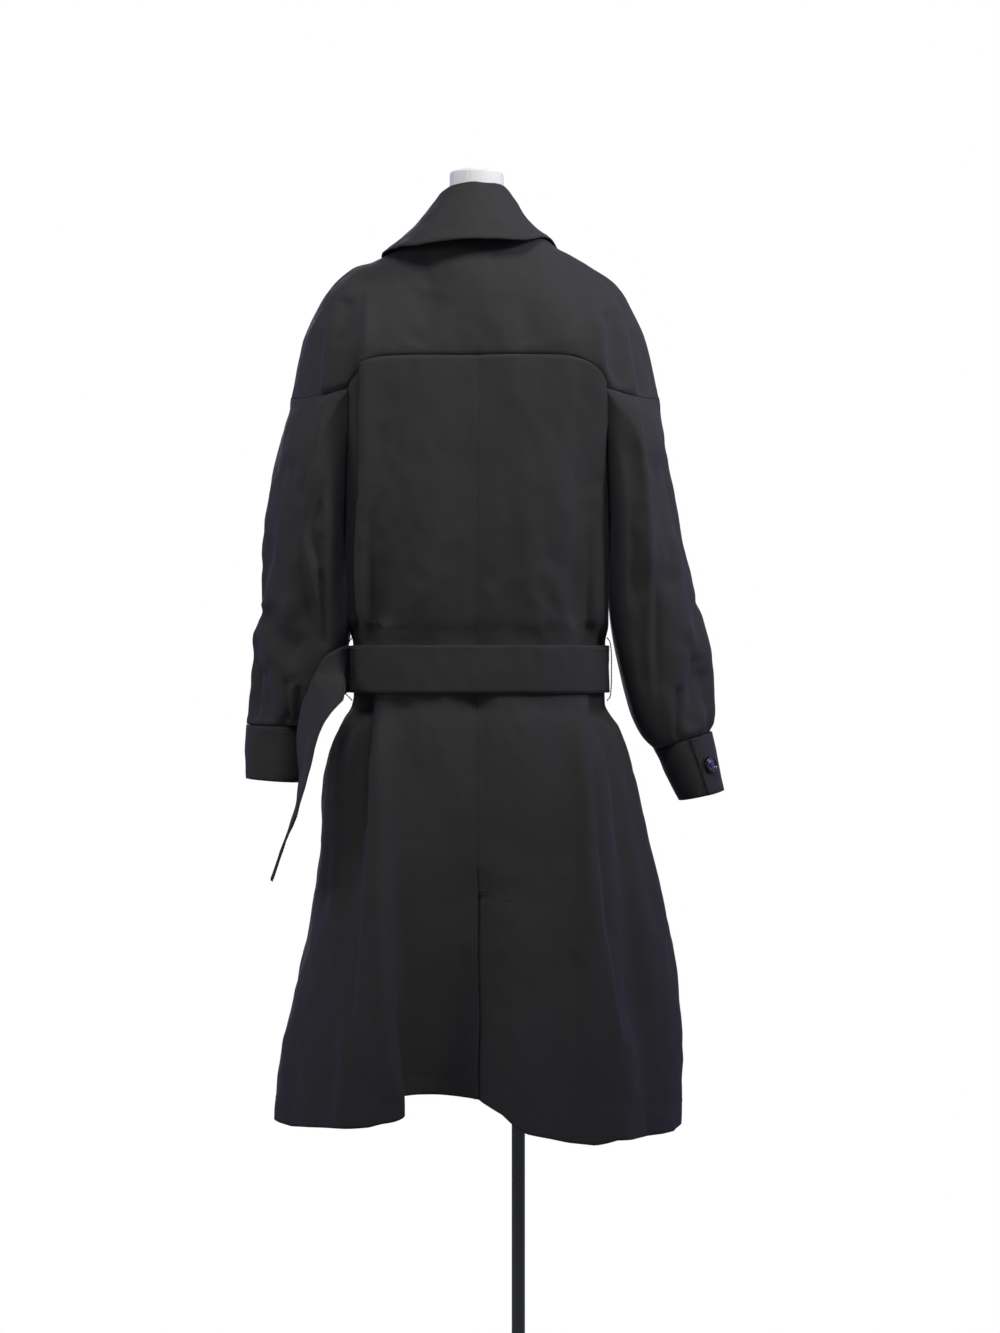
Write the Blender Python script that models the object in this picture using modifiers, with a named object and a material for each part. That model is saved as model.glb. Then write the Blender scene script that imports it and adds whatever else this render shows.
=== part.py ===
"""A belted trench coat of cloth walls, on a limbless dress form and its stand.

Metres, +Z up, the coat's front faces -Y and the wearer's left is +X. The origin is the middle of the
stand's foot. Cloth is lofted through horizontal sections and given its thickness by Solidify.
"""

import math

import bpy
import numpy as np
from mathutils import Vector

# ---- driving sizes ----
CLOTH = 0.0016
BELT_THICKNESS = 0.0024
SEAM_GAP = 0.0004
LAYER_GAP = 0.0005
COAT_FROM_POLE = 0.048  # the coat's centre back stands this far to the wearer's left of the pole

UNDERARM = 1.105
YOKE_MIDDLE = 1.271
YOKE_END = 1.236
BELT_HEIGHT = 0.907
BELT_WIDTH = 0.056
FLAT_BELOW_BELT = 0.868
FLAT_ABOVE_BELT = 0.946
VENT_TOP = 0.656
FRONT_OVERLAP = 0.085
LAPEL_BREAK = 1.170

# steps of the cloth grids: side rows from hem to belt, across the belt, to the underarm, up the armhole
ROW_STEPS = (9, 2, 4, 6)
YOKE_ROWS = 5
NECK_COLUMNS = 3
SHOULDER_COLUMNS = 10


def table(columns, *rows):
    names = columns.split()
    return {name: np.array([row[i] for row in rows], float) for i, name in enumerate(names)}


# half widths, depths and squareness of the coat's body, from hem to yoke
BODY = table(
    "height left right back front back_square front_square",
    (0.355, 0.241, 0.238, 0.176, 0.180, 2.3, 2.2),
    (0.407, 0.238, 0.239, 0.169, 0.173, 2.3, 2.2),
    (0.460, 0.230, 0.239, 0.162, 0.168, 2.4, 2.2),
    (0.570, 0.207, 0.232, 0.146, 0.154, 2.5, 2.2),
    (0.700, 0.189, 0.204, 0.130, 0.138, 2.6, 2.3),
    (0.775, 0.185, 0.187, 0.121, 0.129, 2.7, 2.3),
    (0.840, 0.167, 0.168, 0.108, 0.117, 2.8, 2.4),
    (0.868, 0.149, 0.152, 0.100, 0.109, 2.8, 2.4),
    (0.946, 0.149, 0.152, 0.100, 0.109, 2.8, 2.4),
    (0.964, 0.1555, 0.1560, 0.108, 0.119, 2.9, 2.4),
    (1.040, 0.157, 0.1545, 0.114, 0.130, 3.1, 2.5),
    (1.105, 0.157, 0.1545, 0.118, 0.133, 3.4, 2.7),
    (1.180, 0.158, 0.1555, 0.119, 0.131, 4.0, 3.2),
    (1.242, 0.161, 0.1585, 0.118, 0.122, 4.8, 4.0),
    (1.290, 0.163, 0.1600, 0.116, 0.112, 4.8, 4.0),
)

# how far round the armhole has come from the side, where it cuts the body's sections
ARMHOLE = table(
    "height back front",
    (1.105, 0.000, 0.000),
    (1.118, 0.036, 0.034),
    (1.150, 0.062, 0.058),
    (1.190, 0.081, 0.075),
    (1.236, 0.092, 0.086),
)

# the top of the shoulders, from the neck over the tip to the dropped armhole
SHOULDER = {
    1: table(
        "reach height",
        (0.073, 1.425), (0.100, 1.4075), (0.127, 1.3935), (0.148, 1.383), (0.169, 1.370),
        (0.182, 1.355), (0.193, 1.337), (0.208, 1.304), (0.2165, 1.272), (0.2215, 1.245),
    ),
    -1: table(
        "reach height",
        (0.055, 1.4325), (0.092, 1.4105), (0.122, 1.394), (0.143, 1.382), (0.161, 1.3705),
        (0.173, 1.356), (0.184, 1.337), (0.199, 1.304), (0.2075, 1.272), (0.2135, 1.245),
    ),
}

# folds: metres round from the centre back or centre front at the fold's top and foot, heights, width and
# depth (out is +), left is +
FOLDS = table(
    "front from_top from_foot top foot width_top width_foot depth_top depth_foot",
    (0, 0.000, 0.020, 0.800, 0.330, 0.030, 0.085, 0.000, -0.052),
    (0, 0.116, 0.150, 0.858, 0.330, 0.015, 0.055, 0.008, 0.036),
    (0, 0.136, 0.225, 0.858, 0.330, 0.013, 0.030, -0.011, -0.014),
    (0, -0.139, -0.150, 0.858, 0.330, 0.014, 0.060, 0.008, 0.034),
    (0, -0.157, -0.235, 0.858, 0.330, 0.012, 0.030, -0.010, -0.012),
    (0, 0.112, 0.116, 1.060, 0.952, 0.012, 0.010, -0.003, -0.010),
    (0, -0.122, -0.118, 1.060, 0.952, 0.014, 0.010, -0.003, -0.010),
    (0, 0.138, 0.138, 1.230, 1.000, 0.020, 0.016, 0.003, 0.005),
    (0, -0.148, -0.148, 1.230, 1.000, 0.020, 0.016, 0.003, 0.005),
    (1, 0.150, 0.190, 0.858, 0.330, 0.020, 0.050, 0.006, 0.026),
    (1, -0.150, -0.190, 0.858, 0.330, 0.020, 0.050, 0.006, 0.024),
    (1, 0.105, 0.120, 0.858, 0.330, 0.018, 0.034, -0.007, -0.016),
    (1, -0.110, -0.125, 0.858, 0.330, 0.018, 0.034, -0.007, -0.018),
    (1, 0.120, 0.118, 1.080, 0.952, 0.016, 0.012, -0.003, -0.009),
    (1, -0.120, -0.118, 1.080, 0.952, 0.016, 0.012, -0.003, -0.009),
)

# height of the hem by quarters of the girth: 0 centre back, 1 and -1 side seams, 2 and -2 centre front
HEM = table(
    "quarter height",
    (-2.4, 0.372), (-2.0, 0.374), (-1.5, 0.375), (-1.0, 0.370), (-0.8, 0.365), (-0.6, 0.3675),
    (-0.45, 0.372), (-0.38, 0.3675), (-0.3, 0.370), (-0.25, 0.3735), (-0.17, 0.378), (-0.13, 0.386),
    (-0.09, 0.398), (-0.03, 0.408), (0.0, 0.4125), (0.1, 0.413), (0.2, 0.4145), (0.255, 0.4145),
    (0.27, 0.408), (0.285, 0.4005), (0.32, 0.392), (0.36, 0.3865), (0.45, 0.3845), (0.55, 0.381),
    (0.7, 0.3745), (0.85, 0.375), (1.0, 0.3775), (1.5, 0.376), (2.0, 0.374), (2.4, 0.372),
)

# sleeve rings: the outer and inner points (out from the centre, height), the ring's middle and depths along
# Y, and where across the ring, from its outer side, the back crease and the front crease stand
SLEEVES = {
    1: table(
        "outer outer_height inner inner_height middle back front back_crease front_crease",
        (0.2300, 1.206, 0.1600, 1.088, 0.000, 0.093, 0.088, 0.47, 0.50),
        (0.2385, 1.164, 0.1608, 1.068, 0.000, 0.093, 0.088, 0.48, 0.50),
        (0.2465, 1.118, 0.1608, 1.043, -0.002, 0.091, 0.088, 0.47, 0.50),
        (0.2525, 1.070, 0.1608, 1.013, -0.004, 0.088, 0.088, 0.46, 0.50),
        (0.2585, 1.022, 0.1600, 0.980, -0.008, 0.084, 0.086, 0.52, 0.48),
        (0.2660, 0.974, 0.1575, 0.950, -0.012, 0.079, 0.082, 0.60, 0.45),
        (0.2715, 0.930, 0.1650, 0.915, -0.015, 0.071, 0.077, 0.68, 0.42),
        (0.2765, 0.895, 0.1790, 0.884, -0.017, 0.067, 0.071, 0.66, 0.42),
        (0.2795, 0.868, 0.1850, 0.860, -0.018, 0.061, 0.066, 0.60, 0.45),
        (0.2815, 0.851, 0.1930, 0.847, -0.018, 0.055, 0.059, 0.54, 0.48),
        (0.2800, 0.8405, 0.2050, 0.8385, -0.018, 0.048, 0.050, 0.50, 0.50),
    ),
    -1: table(
        "outer outer_height inner inner_height middle back front back_crease front_crease",
        (0.2215, 1.206, 0.1572, 1.088, 0.000, 0.092, 0.088, 0.40, 0.50),
        (0.2305, 1.164, 0.1580, 1.068, 0.000, 0.092, 0.088, 0.39, 0.50),
        (0.2385, 1.118, 0.1580, 1.043, -0.002, 0.090, 0.088, 0.40, 0.50),
        (0.2455, 1.070, 0.1580, 1.013, -0.004, 0.087, 0.088, 0.42, 0.50),
        (0.2560, 1.022, 0.1590, 0.980, -0.008, 0.083, 0.086, 0.46, 0.48),
        (0.2690, 0.974, 0.1640, 0.942, -0.012, 0.078, 0.082, 0.52, 0.46),
        (0.2755, 0.930, 0.1715, 0.907, -0.015, 0.073, 0.077, 0.58, 0.44),
        (0.2765, 0.893, 0.1790, 0.876, -0.017, 0.067, 0.071, 0.62, 0.44),
        (0.2785, 0.864, 0.1885, 0.846, -0.018, 0.061, 0.066, 0.58, 0.46),
        (0.2790, 0.845, 0.2000, 0.825, -0.018, 0.055, 0.059, 0.54, 0.48),
        (0.2775, 0.8315, 0.2120, 0.8125, -0.018, 0.048, 0.050, 0.50, 0.50),
    ),
}
# cuff rings, top to bottom
CUFFS = {
    1: table(
        "outer outer_height inner inner_height middle back front",
        (0.2800, 0.8400, 0.2050, 0.8380, -0.018, 0.048, 0.050),
        (0.2810, 0.8080, 0.2110, 0.8050, -0.018, 0.049, 0.051),
        (0.2790, 0.7760, 0.2155, 0.7710, -0.018, 0.050, 0.052),
    ),
    -1: table(
        "outer outer_height inner inner_height middle back front",
        (0.2775, 0.8310, 0.2120, 0.8120, -0.018, 0.048, 0.050),
        (0.2850, 0.7960, 0.2275, 0.7810, -0.018, 0.050, 0.052),
        (0.2920, 0.7610, 0.2430, 0.7500, -0.018, 0.052, 0.054),
    ),
}
CUFF_ROWS = 4
CUFF_COLUMNS = 26
CUFF_LAP_DEGREES = 34
# the turn round the cuff, from its outer side towards the back, where its lapping end lies, and the
# button's distance back from that end
CUFF_END_DEGREES = {1: -27, -1: 80}
CUFF_BUTTON_DEGREES = 18

# collar sections round the neck (-1 right front end, 0 centre back, 1 left front end): the neck seam, the
# folded top and the fall's edge
COLLAR = table(
    "round seam_x seam_y seam_z top_x top_y top_z belly edge_x edge_y edge_z",
    (-1.00, -0.012, -0.1230, 1.3420, -0.014, -0.130, 1.346, 0.002, -0.112, -0.108, 1.349),
    (-0.75, -0.034, -0.0700, 1.3990, -0.036, -0.078, 1.414, 0.000, -0.106, -0.064, 1.390),
    (-0.50, -0.052, 0.0000, 1.4333, -0.040, 0.004, 1.462, -0.004, -0.083, 0.014, 1.4210),
    (-0.25, -0.037, 0.0440, 1.4400, -0.027, 0.040, 1.476, -0.003, -0.049, 0.090, 1.4085),
    (0.00, 0.006, 0.0610, 1.4417, 0.002, 0.054, 1.484, 0.002, 0.006, 0.108, 1.4080),
    (0.25, 0.051, 0.0450, 1.4365, 0.033, 0.044, 1.475, 0.000, 0.068, 0.094, 1.4040),
    (0.50, 0.068, 0.0000, 1.4280, 0.052, 0.004, 1.457, -0.003, 0.113, 0.018, 1.4050),
    (0.75, 0.052, -0.0700, 1.3945, 0.052, -0.078, 1.408, 0.000, 0.122, -0.062, 1.3750),
    (1.00, 0.028, -0.1190, 1.3400, 0.030, -0.127, 1.345, 0.002, 0.130, -0.104, 1.3420),
)
COLLAR_COLUMNS = 32
COLLAR_ROWS = 8
COLLAR_FOLD = 0.0045

# lapels: share of the way up the roll line, and how far across the front they reach
LAPEL = table("up reach", (0.0, 0.03), (0.25, 0.20), (0.55, 0.36), (0.85, 0.47), (1.0, 0.50))
LAPEL_LIFT = {1: 0.0029, -1: 0.0034}
LAPEL_ROLL = 0.0060  # how far the turned cloth stands off between its fold and its edge
LAPEL_COLUMNS = 5

# the belt's free end, from the left thread loop down behind the sleeve, and its turn from facing back
BELT_END = table(
    "x y z turn",
    (0.1570, 0.026, 0.9065, 0),
    (0.1580, 0.050, 0.9050, 0),
    (0.1620, 0.070, 0.8990, 26),
    (0.1710, 0.083, 0.8880, 44),
    (0.1830, 0.089, 0.8710, 57),
    (0.1930, 0.092, 0.8500, 66),
    (0.2005, 0.096, 0.8200, 74),
    (0.2045, 0.099, 0.7800, 82),
    (0.2130, 0.101, 0.7400, 86),
    (0.2270, 0.102, 0.7000, 88),
    (0.2400, 0.102, 0.6640, 88),
)
LOOP_RADIUS = 0.0007
LOOP_REACH = {1: 0.0095, -1: 0.0062}

BUCKLE_WIDTH = 0.066
BUCKLE_HEIGHT = 0.074
BUCKLE_BAR = 0.0030
BUCKLE_ARCH = 0.0072  # how far the belt rises over the middle bar
BUCKLE_RAIL = 0.005

BUTTON_RADIUS = 0.0115
CUFF_BUTTON_RADIUS = 0.0100
BUTTON_THICKNESS = 0.0055
BUTTON_ROWS = (1.105, 0.990, 0.800)
BUTTON_COLUMN = 0.060

# the dress form under the coat, below its shoulders
FORM = table(
    "height half_width back front",
    (0.775, 0.136, 0.086, 0.090),
    (0.785, 0.146, 0.096, 0.099),
    (0.820, 0.148, 0.098, 0.100),
    (0.860, 0.138, 0.092, 0.096),
    (0.910, 0.122, 0.082, 0.086),
    (0.960, 0.122, 0.084, 0.090),
    (1.050, 0.136, 0.093, 0.106),
    (1.130, 0.144, 0.098, 0.116),
    (1.200, 0.146, 0.099, 0.108),
    (1.260, 0.151, 0.098, 0.098),
    (1.310, 0.158, 0.092, 0.086),
    (1.345, 0.163, 0.078, 0.070),
)
FORM_CENTRE = 0.0035
FORM_COLUMNS = 28
FORM_GAP = 0.0010
SHOULDER_DEPTH_TIP = 0.040
SHOULDER_DEPTH_NECK = 0.026
NECK_RADIUS = 0.0325
NECK_CENTRE = 0.002
NECK_TOP = 1.503
POLE_RADIUS = 0.008
FOOT_RADIUS = 0.175
FOOT_THICKNESS = 0.008

MATERIALS = {
    # name: colour, roughness, metallic
    "charcoal_twill": ((0.030, 0.030, 0.031), 0.85, 0.0),
    "black_gloss": ((0.010, 0.010, 0.012), 0.15, 0.0),
    "black_thread": ((0.020, 0.020, 0.021), 0.80, 0.0),
    "white_cover": ((0.850, 0.850, 0.840), 0.75, 0.0),
    "grey_enamel": ((0.110, 0.112, 0.120), 0.40, 0.6),
}


# ---- curves through named rows ----
def through(rows, key, column, at):
    """Reads a column smoothly between its rows, level past its ends."""
    x, y = rows[key], rows[column]
    rise = np.diff(y) / np.diff(x)
    slope = np.gradient(y, x)
    if len(rise) > 1:
        flat = rise[:-1] * rise[1:] <= 0
        slope[1:-1][flat] = 0
        limit = 2 * np.minimum(np.abs(rise[:-1]), np.abs(rise[1:]))
        slope[1:-1] = np.clip(slope[1:-1], -limit, limit)
    at = np.clip(np.asarray(at, float), x[0], x[-1])
    i = np.clip(np.searchsorted(x, at) - 1, 0, len(x) - 2)
    step = x[i + 1] - x[i]
    t = (at - x[i]) / step
    start = (2 * t**3 - 3 * t**2 + 1) * y[i] + (t**3 - 2 * t**2 + t) * step * slope[i]
    end = (3 * t**2 - 2 * t**3) * y[i + 1] + (t**3 - t**2) * step * slope[i + 1]
    return start + end


def along(points, shares):
    """Points at shares of a polyline's length."""
    points = np.asarray(points, float)
    run = np.r_[0, np.cumsum(np.linalg.norm(np.diff(points, axis=0), axis=1))]
    return np.stack([np.interp(np.asarray(shares) * run[-1], run, points[:, k]) for k in range(3)], -1)


def smooth_line(points, count):
    """A smooth curve of evenly spaced points through a few given ones."""
    points = np.asarray(points, float)
    key = np.r_[0, np.cumsum(np.linalg.norm(np.diff(points, axis=0), axis=1))]
    rows = {"key": key, "x": points[:, 0], "y": points[:, 1], "z": points[:, 2]}
    at = np.linspace(0, key[-1], 20 * count)
    fine = np.stack([through(rows, "key", axis, at) for axis in "xyz"], -1)
    return along(fine, np.linspace(0, 1, count))


def ease(t):
    t = np.clip(t, 0, 1)
    return t * t * (3 - 2 * t)


def hermite(start, end, leave, arrive, t):
    return (
        (2 * t**3 - 3 * t**2 + 1) * start
        + (t**3 - 2 * t**2 + t) * leave
        + (3 * t**2 - 2 * t**3) * end
        + (t**3 - t**2) * arrive
    )


def quarter(half_width, depth, square, share):
    """A quarter of a rounded section, from its centre line (share 0) to its side (share 1), by length."""
    turn = np.linspace(0, math.pi / 2, 121)
    half_width, depth, square, share = np.broadcast_arrays(half_width, depth, square, share)
    x = half_width[..., None] * np.sin(turn) ** (2 / square[..., None])
    y = depth[..., None] * np.cos(turn) ** (2 / square[..., None])
    steps = np.hypot(np.diff(x, axis=-1), np.diff(y, axis=-1))
    run = np.concatenate([np.zeros_like(x[..., :1]), np.cumsum(steps, -1)], -1)
    total = run[..., -1]
    i = np.clip((run < (share * total)[..., None]).sum(-1), 1, len(turn) - 1)[..., None]
    low, high = (np.take_along_axis(run, i + k, -1)[..., 0] for k in (-1, 0))
    part = (share * total - low) / np.maximum(high - low, 1e-12)
    px, py = (
        np.take_along_axis(v, i - 1, -1)[..., 0] * (1 - part) + np.take_along_axis(v, i, -1)[..., 0] * part
        for v in (x, y)
    )
    return px, py, total


# ---- the coat's body ----
def body(around, height):
    """A point of the body's cloth: around is 0 at centre back, 1 at the left side, 2 at centre front."""
    around, height = np.broadcast_arrays(np.asarray(around, float), np.asarray(height, float))
    around = (around + 2) % 4 - 2
    side = np.where(around < 0, -1.0, 1.0)
    front = np.abs(around) > 1
    share = np.where(front, 2 - np.abs(around), np.abs(around))
    at = {name: through(BODY, "height", name, height) for name in BODY if name != "height"}
    width = np.where(side > 0, at["left"], at["right"])
    depth = np.where(front, at["front"], at["back"])
    square = np.where(front, at["front_square"], at["back_square"])
    x, y, total = quarter(width, depth, square, share)
    out_x = (x / width) ** (square - 1) / width
    out_y = (y / depth) ** (square - 1) / depth
    out = np.hypot(out_x, out_y)
    push = fold_depth(front, side * share * total, height)
    x = side * (x + push * out_x / out)
    y = np.where(front, -1, 1) * (y + push * out_y / out)
    return np.stack([x, y, height + 0 * x], -1)


def fold_depth(front, distance, height):
    push = np.zeros_like(distance)
    for i in range(len(FOLDS["top"])):
        fold = {name: column[i] for name, column in FOLDS.items()}
        down = np.clip((fold["top"] - height) / (fold["top"] - fold["foot"]), 0, 1)
        middle = fold["from_top"] + (fold["from_foot"] - fold["from_top"]) * down
        width = fold["width_top"] + (fold["width_foot"] - fold["width_top"]) * down
        depth = fold["depth_top"] + (fold["depth_foot"] - fold["depth_top"]) * down
        inside = (height < fold["top"]) & (height > fold["foot"]) & (front == bool(fold["front"]))
        begins = ease((fold["top"] - height) / 0.06)
        ends = 1.0 if fold["foot"] < 0.34 else ease((height - fold["foot"]) / 0.02)
        push = push + inside * begins * ends * depth * np.exp(-(((distance - middle) / width) ** 2))
    return push


def armhole_share(side, front, height):
    """How much of a quarter section is left before the armhole."""
    reach = through(ARMHOLE, "height", "front" if front else "back", height)
    ends = np.ones_like(np.asarray(height, float))
    shares = np.linspace(0, 1, 401)
    for i, z in enumerate(np.atleast_1d(height)):
        if z > UNDERARM + 1e-6:
            corner = body(side * (2 - shares) if front else side * shares, z)
            past = np.abs(corner[:, 1])
            ends.flat[i] = np.interp(-reach.flat[i], -past, shares)
    return ends


def row_heights(low, high):
    """Heights of the rows at a side seam and up the armhole."""
    spans = (low, FLAT_BELOW_BELT, FLAT_ABOVE_BELT, UNDERARM, high)
    heights = [low]
    for (a, b), steps in zip(zip(spans, spans[1:]), ROW_STEPS):
        heights += list(a + (b - a) * np.arange(1, steps + 1) / steps)
    return np.array(heights)


def panel_rows(side, front, shares, middle_top):
    """Grid of a back or front below the yoke: rows from the hem up, columns from its middle to its side."""
    edge = row_heights(0.0, YOKE_END)
    level = np.arange(len(edge))
    below = level <= sum(ROW_STEPS[:3])
    quarters = side * (2 - shares) if front else side * shares
    hem = np.interp(quarters, HEM["quarter"], HEM["height"])
    grid = np.zeros((len(edge), len(shares), 3))
    for k in level:
        if below[k]:
            z = np.where(k <= ROW_STEPS[0], hem + (FLAT_BELOW_BELT - hem) * k / ROW_STEPS[0], edge[k])
            reach = 1.0
        else:
            rise = (edge[k] - UNDERARM) / (YOKE_END - UNDERARM)
            middle = UNDERARM + (middle_top - UNDERARM) * rise
            z = edge[k] + (middle - edge[k]) * (1 - np.clip(shares, 0, 1) ** 5)
            reach = armhole_share(side, front, np.array([edge[k]]))[0]
        around = side * (2 - shares * reach) if front else side * shares * reach
        grid[k] = body(around, z)
    return grid


# ---- cloth walls ----
def sheet(name, grid, material, thickness=CLOTH, ring=False):
    """A cloth wall on a grid of points: an open lofted surface, thickened by Solidify."""
    rows, columns = grid.shape[:2]
    points = [tuple(p) for p in grid.reshape(-1, 3)]
    faces = []
    for r in range(rows - 1):
        for c in range(columns if ring else columns - 1):
            d = (c + 1) % columns
            faces.append((r * columns + c, r * columns + d, (r + 1) * columns + d, (r + 1) * columns + c))
    mesh = bpy.data.meshes.new(name)
    mesh.from_pydata(points, [], faces)
    mesh.shade_smooth()
    made = add(name, mesh, material)
    wall = made.modifiers.new("cloth", "SOLIDIFY")
    wall.thickness = thickness
    wall.offset = 0
    return made


def add(name, mesh, material, place=(COAT_FROM_POLE, 0, 0)):
    made = bpy.data.objects.new(name, mesh)
    made.location = place
    made.data.materials.append(MATERIAL[material])
    PARTS.objects.link(made)
    return made


def outward(grid):
    """Unit normals of a grid, by its neighbours."""
    normal = np.cross(np.gradient(grid, axis=1), np.gradient(grid, axis=0))
    return normal / np.maximum(np.linalg.norm(normal, axis=-1, keepdims=True), 1e-12)


def inset(grid, first=0.0, last=0.0, low=0.0, high=0.0):
    """Draws a grid's edges in along its own surface, for the gaps at seams."""
    grid = grid.copy()
    for edge, inner, amount in ((0, 1, first), (-1, -2, last)):
        step = grid[:, inner] - grid[:, edge]
        grid[:, edge] += step * np.reshape(amount, (-1, 1)) / np.linalg.norm(step, axis=-1, keepdims=True)
    for edge, inner, amount in ((0, 1, low), (-1, -2, high)):
        step = grid[inner] - grid[edge]
        grid[edge] += step * np.reshape(amount, (-1, 1)) / np.linalg.norm(step, axis=-1, keepdims=True)
    return grid


# ---- the coat's panels ----
def column_shares():
    return np.linspace(0, 1, NECK_COLUMNS + SHOULDER_COLUMNS + 1)


def back_grid(side):
    return panel_rows(side, False, column_shares(), YOKE_MIDDLE)


def shoulder_line(side, shares):
    rows = SHOULDER[side]
    points = np.stack([rows["reach"], 0 * rows["reach"], rows["height"]], -1)
    line = along(smooth_line(points, 60), shares)
    line[:, 0] *= side
    return line


def yoke_half(side):
    """Rows from the yoke seam up over the shoulder, columns from the centre back to the armhole."""
    seam = back_grid(side)[-1]
    neck_point = shoulder_line(side, [0.0])[0]
    neck_middle = np.array([0.004, 0.062, 1.440])
    turn = np.linspace(math.pi / 2, 0, NECK_COLUMNS + 1)[:-1]
    neck = np.stack(
        [
            neck_middle[0] + (neck_point[0] - neck_middle[0]) * np.cos(turn),
            neck_middle[1] * np.sin(turn),
            neck_point[2] + (neck_middle[2] - neck_point[2]) * np.sin(turn),
        ],
        -1,
    )
    shoulder = shoulder_line(side, np.linspace(0, 1, SHOULDER_COLUMNS + 1))
    top = np.concatenate([neck, shoulder])
    shares = column_shares()[:, None]
    outer = ease((shares - 0.78) / 0.22)
    leave = np.concatenate([0.02 * side * shares, 0 * shares, 0.20 - 0.02 * shares], -1)
    leave = leave * (1 - outer) + outer * np.array([0.085 * side, 0.0, -0.030])
    neck_part = ease(1 - shares / (NECK_COLUMNS / (NECK_COLUMNS + SHOULDER_COLUMNS)))
    arrive = np.concatenate([0.02 * side * shares, -0.17 + 0 * shares, 0.06 * neck_part], -1)
    arrive = arrive * (1 - outer) + outer * np.array([0.010 * side, -0.105, 0.030])
    rise = np.linspace(0, 1, YOKE_ROWS + 1)[:, None, None]
    return hermite(seam[None], top[None], leave[None], arrive[None], rise)


def front_grid(side):
    """A whole front: rows from the hem to the shoulder seam, columns from the front edge to the side."""
    shares = np.linspace(0, 1, SHOULDER_COLUMNS + 1)
    edge = row_heights(0.0, YOKE_END)
    length = quarter(0.2, 0.13, 2.4, 1.0)[2]  # a front's usual quarter of the girth
    rows = []
    neck = shoulder_line(side, [0.0])[0]
    for k in range(len(edge)):
        past = FRONT_OVERLAP
        if k > sum(ROW_STEPS[:3]):
            up = max(0.0, edge[k] + 0.03 * (edge[k] - UNDERARM) / (YOKE_END - UNDERARM) - LAPEL_BREAK)
            past -= up * (FRONT_OVERLAP + abs(neck[0])) / (neck[2] - LAPEL_BREAK)
        size = length if k > 10 else length * 1.25
        around = -past / size + shares * (1 + past / size)
        rows.append(panel_rows(side, True, around, YOKE_END + 0.03)[k])
    lower = np.array(rows)
    top = shoulder_line(side, shares)
    outer = ease((shares[:, None] - 0.75) / 0.25)
    inner = ease(1 - shares[:, None] / 0.5)
    leave = np.concatenate([0.02 * side * shares[:, None], 0 * outer, 0.21 - 0.02 * outer], -1)
    leave = leave + inner * np.array([0.085 * side, 0.0, -0.02])
    leave = leave * (1 - outer) + outer * np.array([0.085 * side, 0.0, -0.030])
    arrive = np.concatenate([0.02 * side * shares[:, None], 0.17 + 0 * outer, 0 * outer], -1)
    arrive = arrive + inner * np.array([0.05 * side, 0.0, 0.05])
    arrive = arrive * (1 - outer) + outer * np.array([0.010 * side, 0.105, 0.030])
    rise = np.linspace(0, 1, YOKE_ROWS + 1)[1:, None, None]
    upper = hermite(lower[-1][None], top[None], leave[None], arrive[None], rise)
    return np.concatenate([lower, upper])


def front_layer(side, grid):
    """Moves the right front out where it lies over the left one."""
    if side > 0:
        return grid
    over = 0.0050 * ease((grid[..., 0] + 0.150) / 0.120)
    return grid + outward_front(side, grid) * over[..., None]


def outward_front(side, grid):
    return outward(grid) * side


def make_backs():
    for side, name in ((1, "back_left"), (-1, "back_right")):
        grid = back_grid(side)
        grid[..., 0][:, 0] = 0
        if side < 0:
            grid = lay_under(grid)
        seam = SEAM_GAP * (0.5 + 0.8 * ease((column_shares() - 0.7) / 0.3))
        grid = inset(grid, first=SEAM_GAP / 2, last=SEAM_GAP / 2, high=seam)
        # both run towards the left, so that the two layers at the vent are cut into faces alike
        sheet(name, grid[:, ::side], "charcoal_twill")


def lay_under(grid):
    """Carries the right back on under the left one, below the vent's top, on the left one's own columns."""
    steps = grid.shape[1] - 1
    column = np.arange(steps + 1)
    lap = np.interp(column, (0, 2, 3, 4, 5, 6, steps), (2, 0, -1.4, -2.9, -4.4, -6, -steps)) / steps
    hem = np.interp(lap, HEM["quarter"], HEM["height"])
    for k in range(ROW_STEPS[0]):
        height = hem + (FLAT_BELOW_BELT - hem) * k / ROW_STEPS[0]
        vent = ease((VENT_TOP - grid[k, 0, 2]) / 0.02)
        tuck = ease((VENT_TOP + 0.06 - grid[k, 0, 2]) / 0.04)
        grid[k] += vent * (body(lap, height) - grid[k])
        depth = CLOTH + LAYER_GAP * (4 + 4 * (1 - vent))
        grid[k, :, 1] -= tuck * depth * np.interp(column, (0, 2, 5), (1, 1, 0))
    return grid


def make_yoke():
    left, right = yoke_half(1), yoke_half(-1)
    grid = np.concatenate([right[:, :0:-1], left], 1)
    shares = np.abs(np.linspace(-1, 1, grid.shape[1]))
    seam = SEAM_GAP * (0.5 + 0.8 * ease((shares - 0.7) / 0.3))
    grid = inset(grid, first=SEAM_GAP, last=SEAM_GAP, low=seam, high=SEAM_GAP)
    sheet("back_yoke", grid, "charcoal_twill")


def make_fronts():
    grids = {}
    for side, name in ((1, "front_left"), (-1, "front_right")):
        grid = front_layer(side, front_grid(side))
        grids[side] = grid
        cut = inset(grid, last=SEAM_GAP / 2, high=SEAM_GAP)
        sheet(name, cut, "charcoal_twill")
    return grids


# ---- sleeves and cuffs ----
def armhole_loop(side):
    """The armhole's points: from its outer top round the back to the underarm, and back up the front."""
    back_panel, yoke = back_grid(side), yoke_half(side)
    front = front_grid(side)
    first = sum(ROW_STEPS[:3])
    down_back = np.concatenate([yoke[::-1, -1], back_panel[first:-1, -1][::-1]])
    up_front = front[first + 1 : -1, -1]
    return np.concatenate([down_back, up_front])


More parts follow.
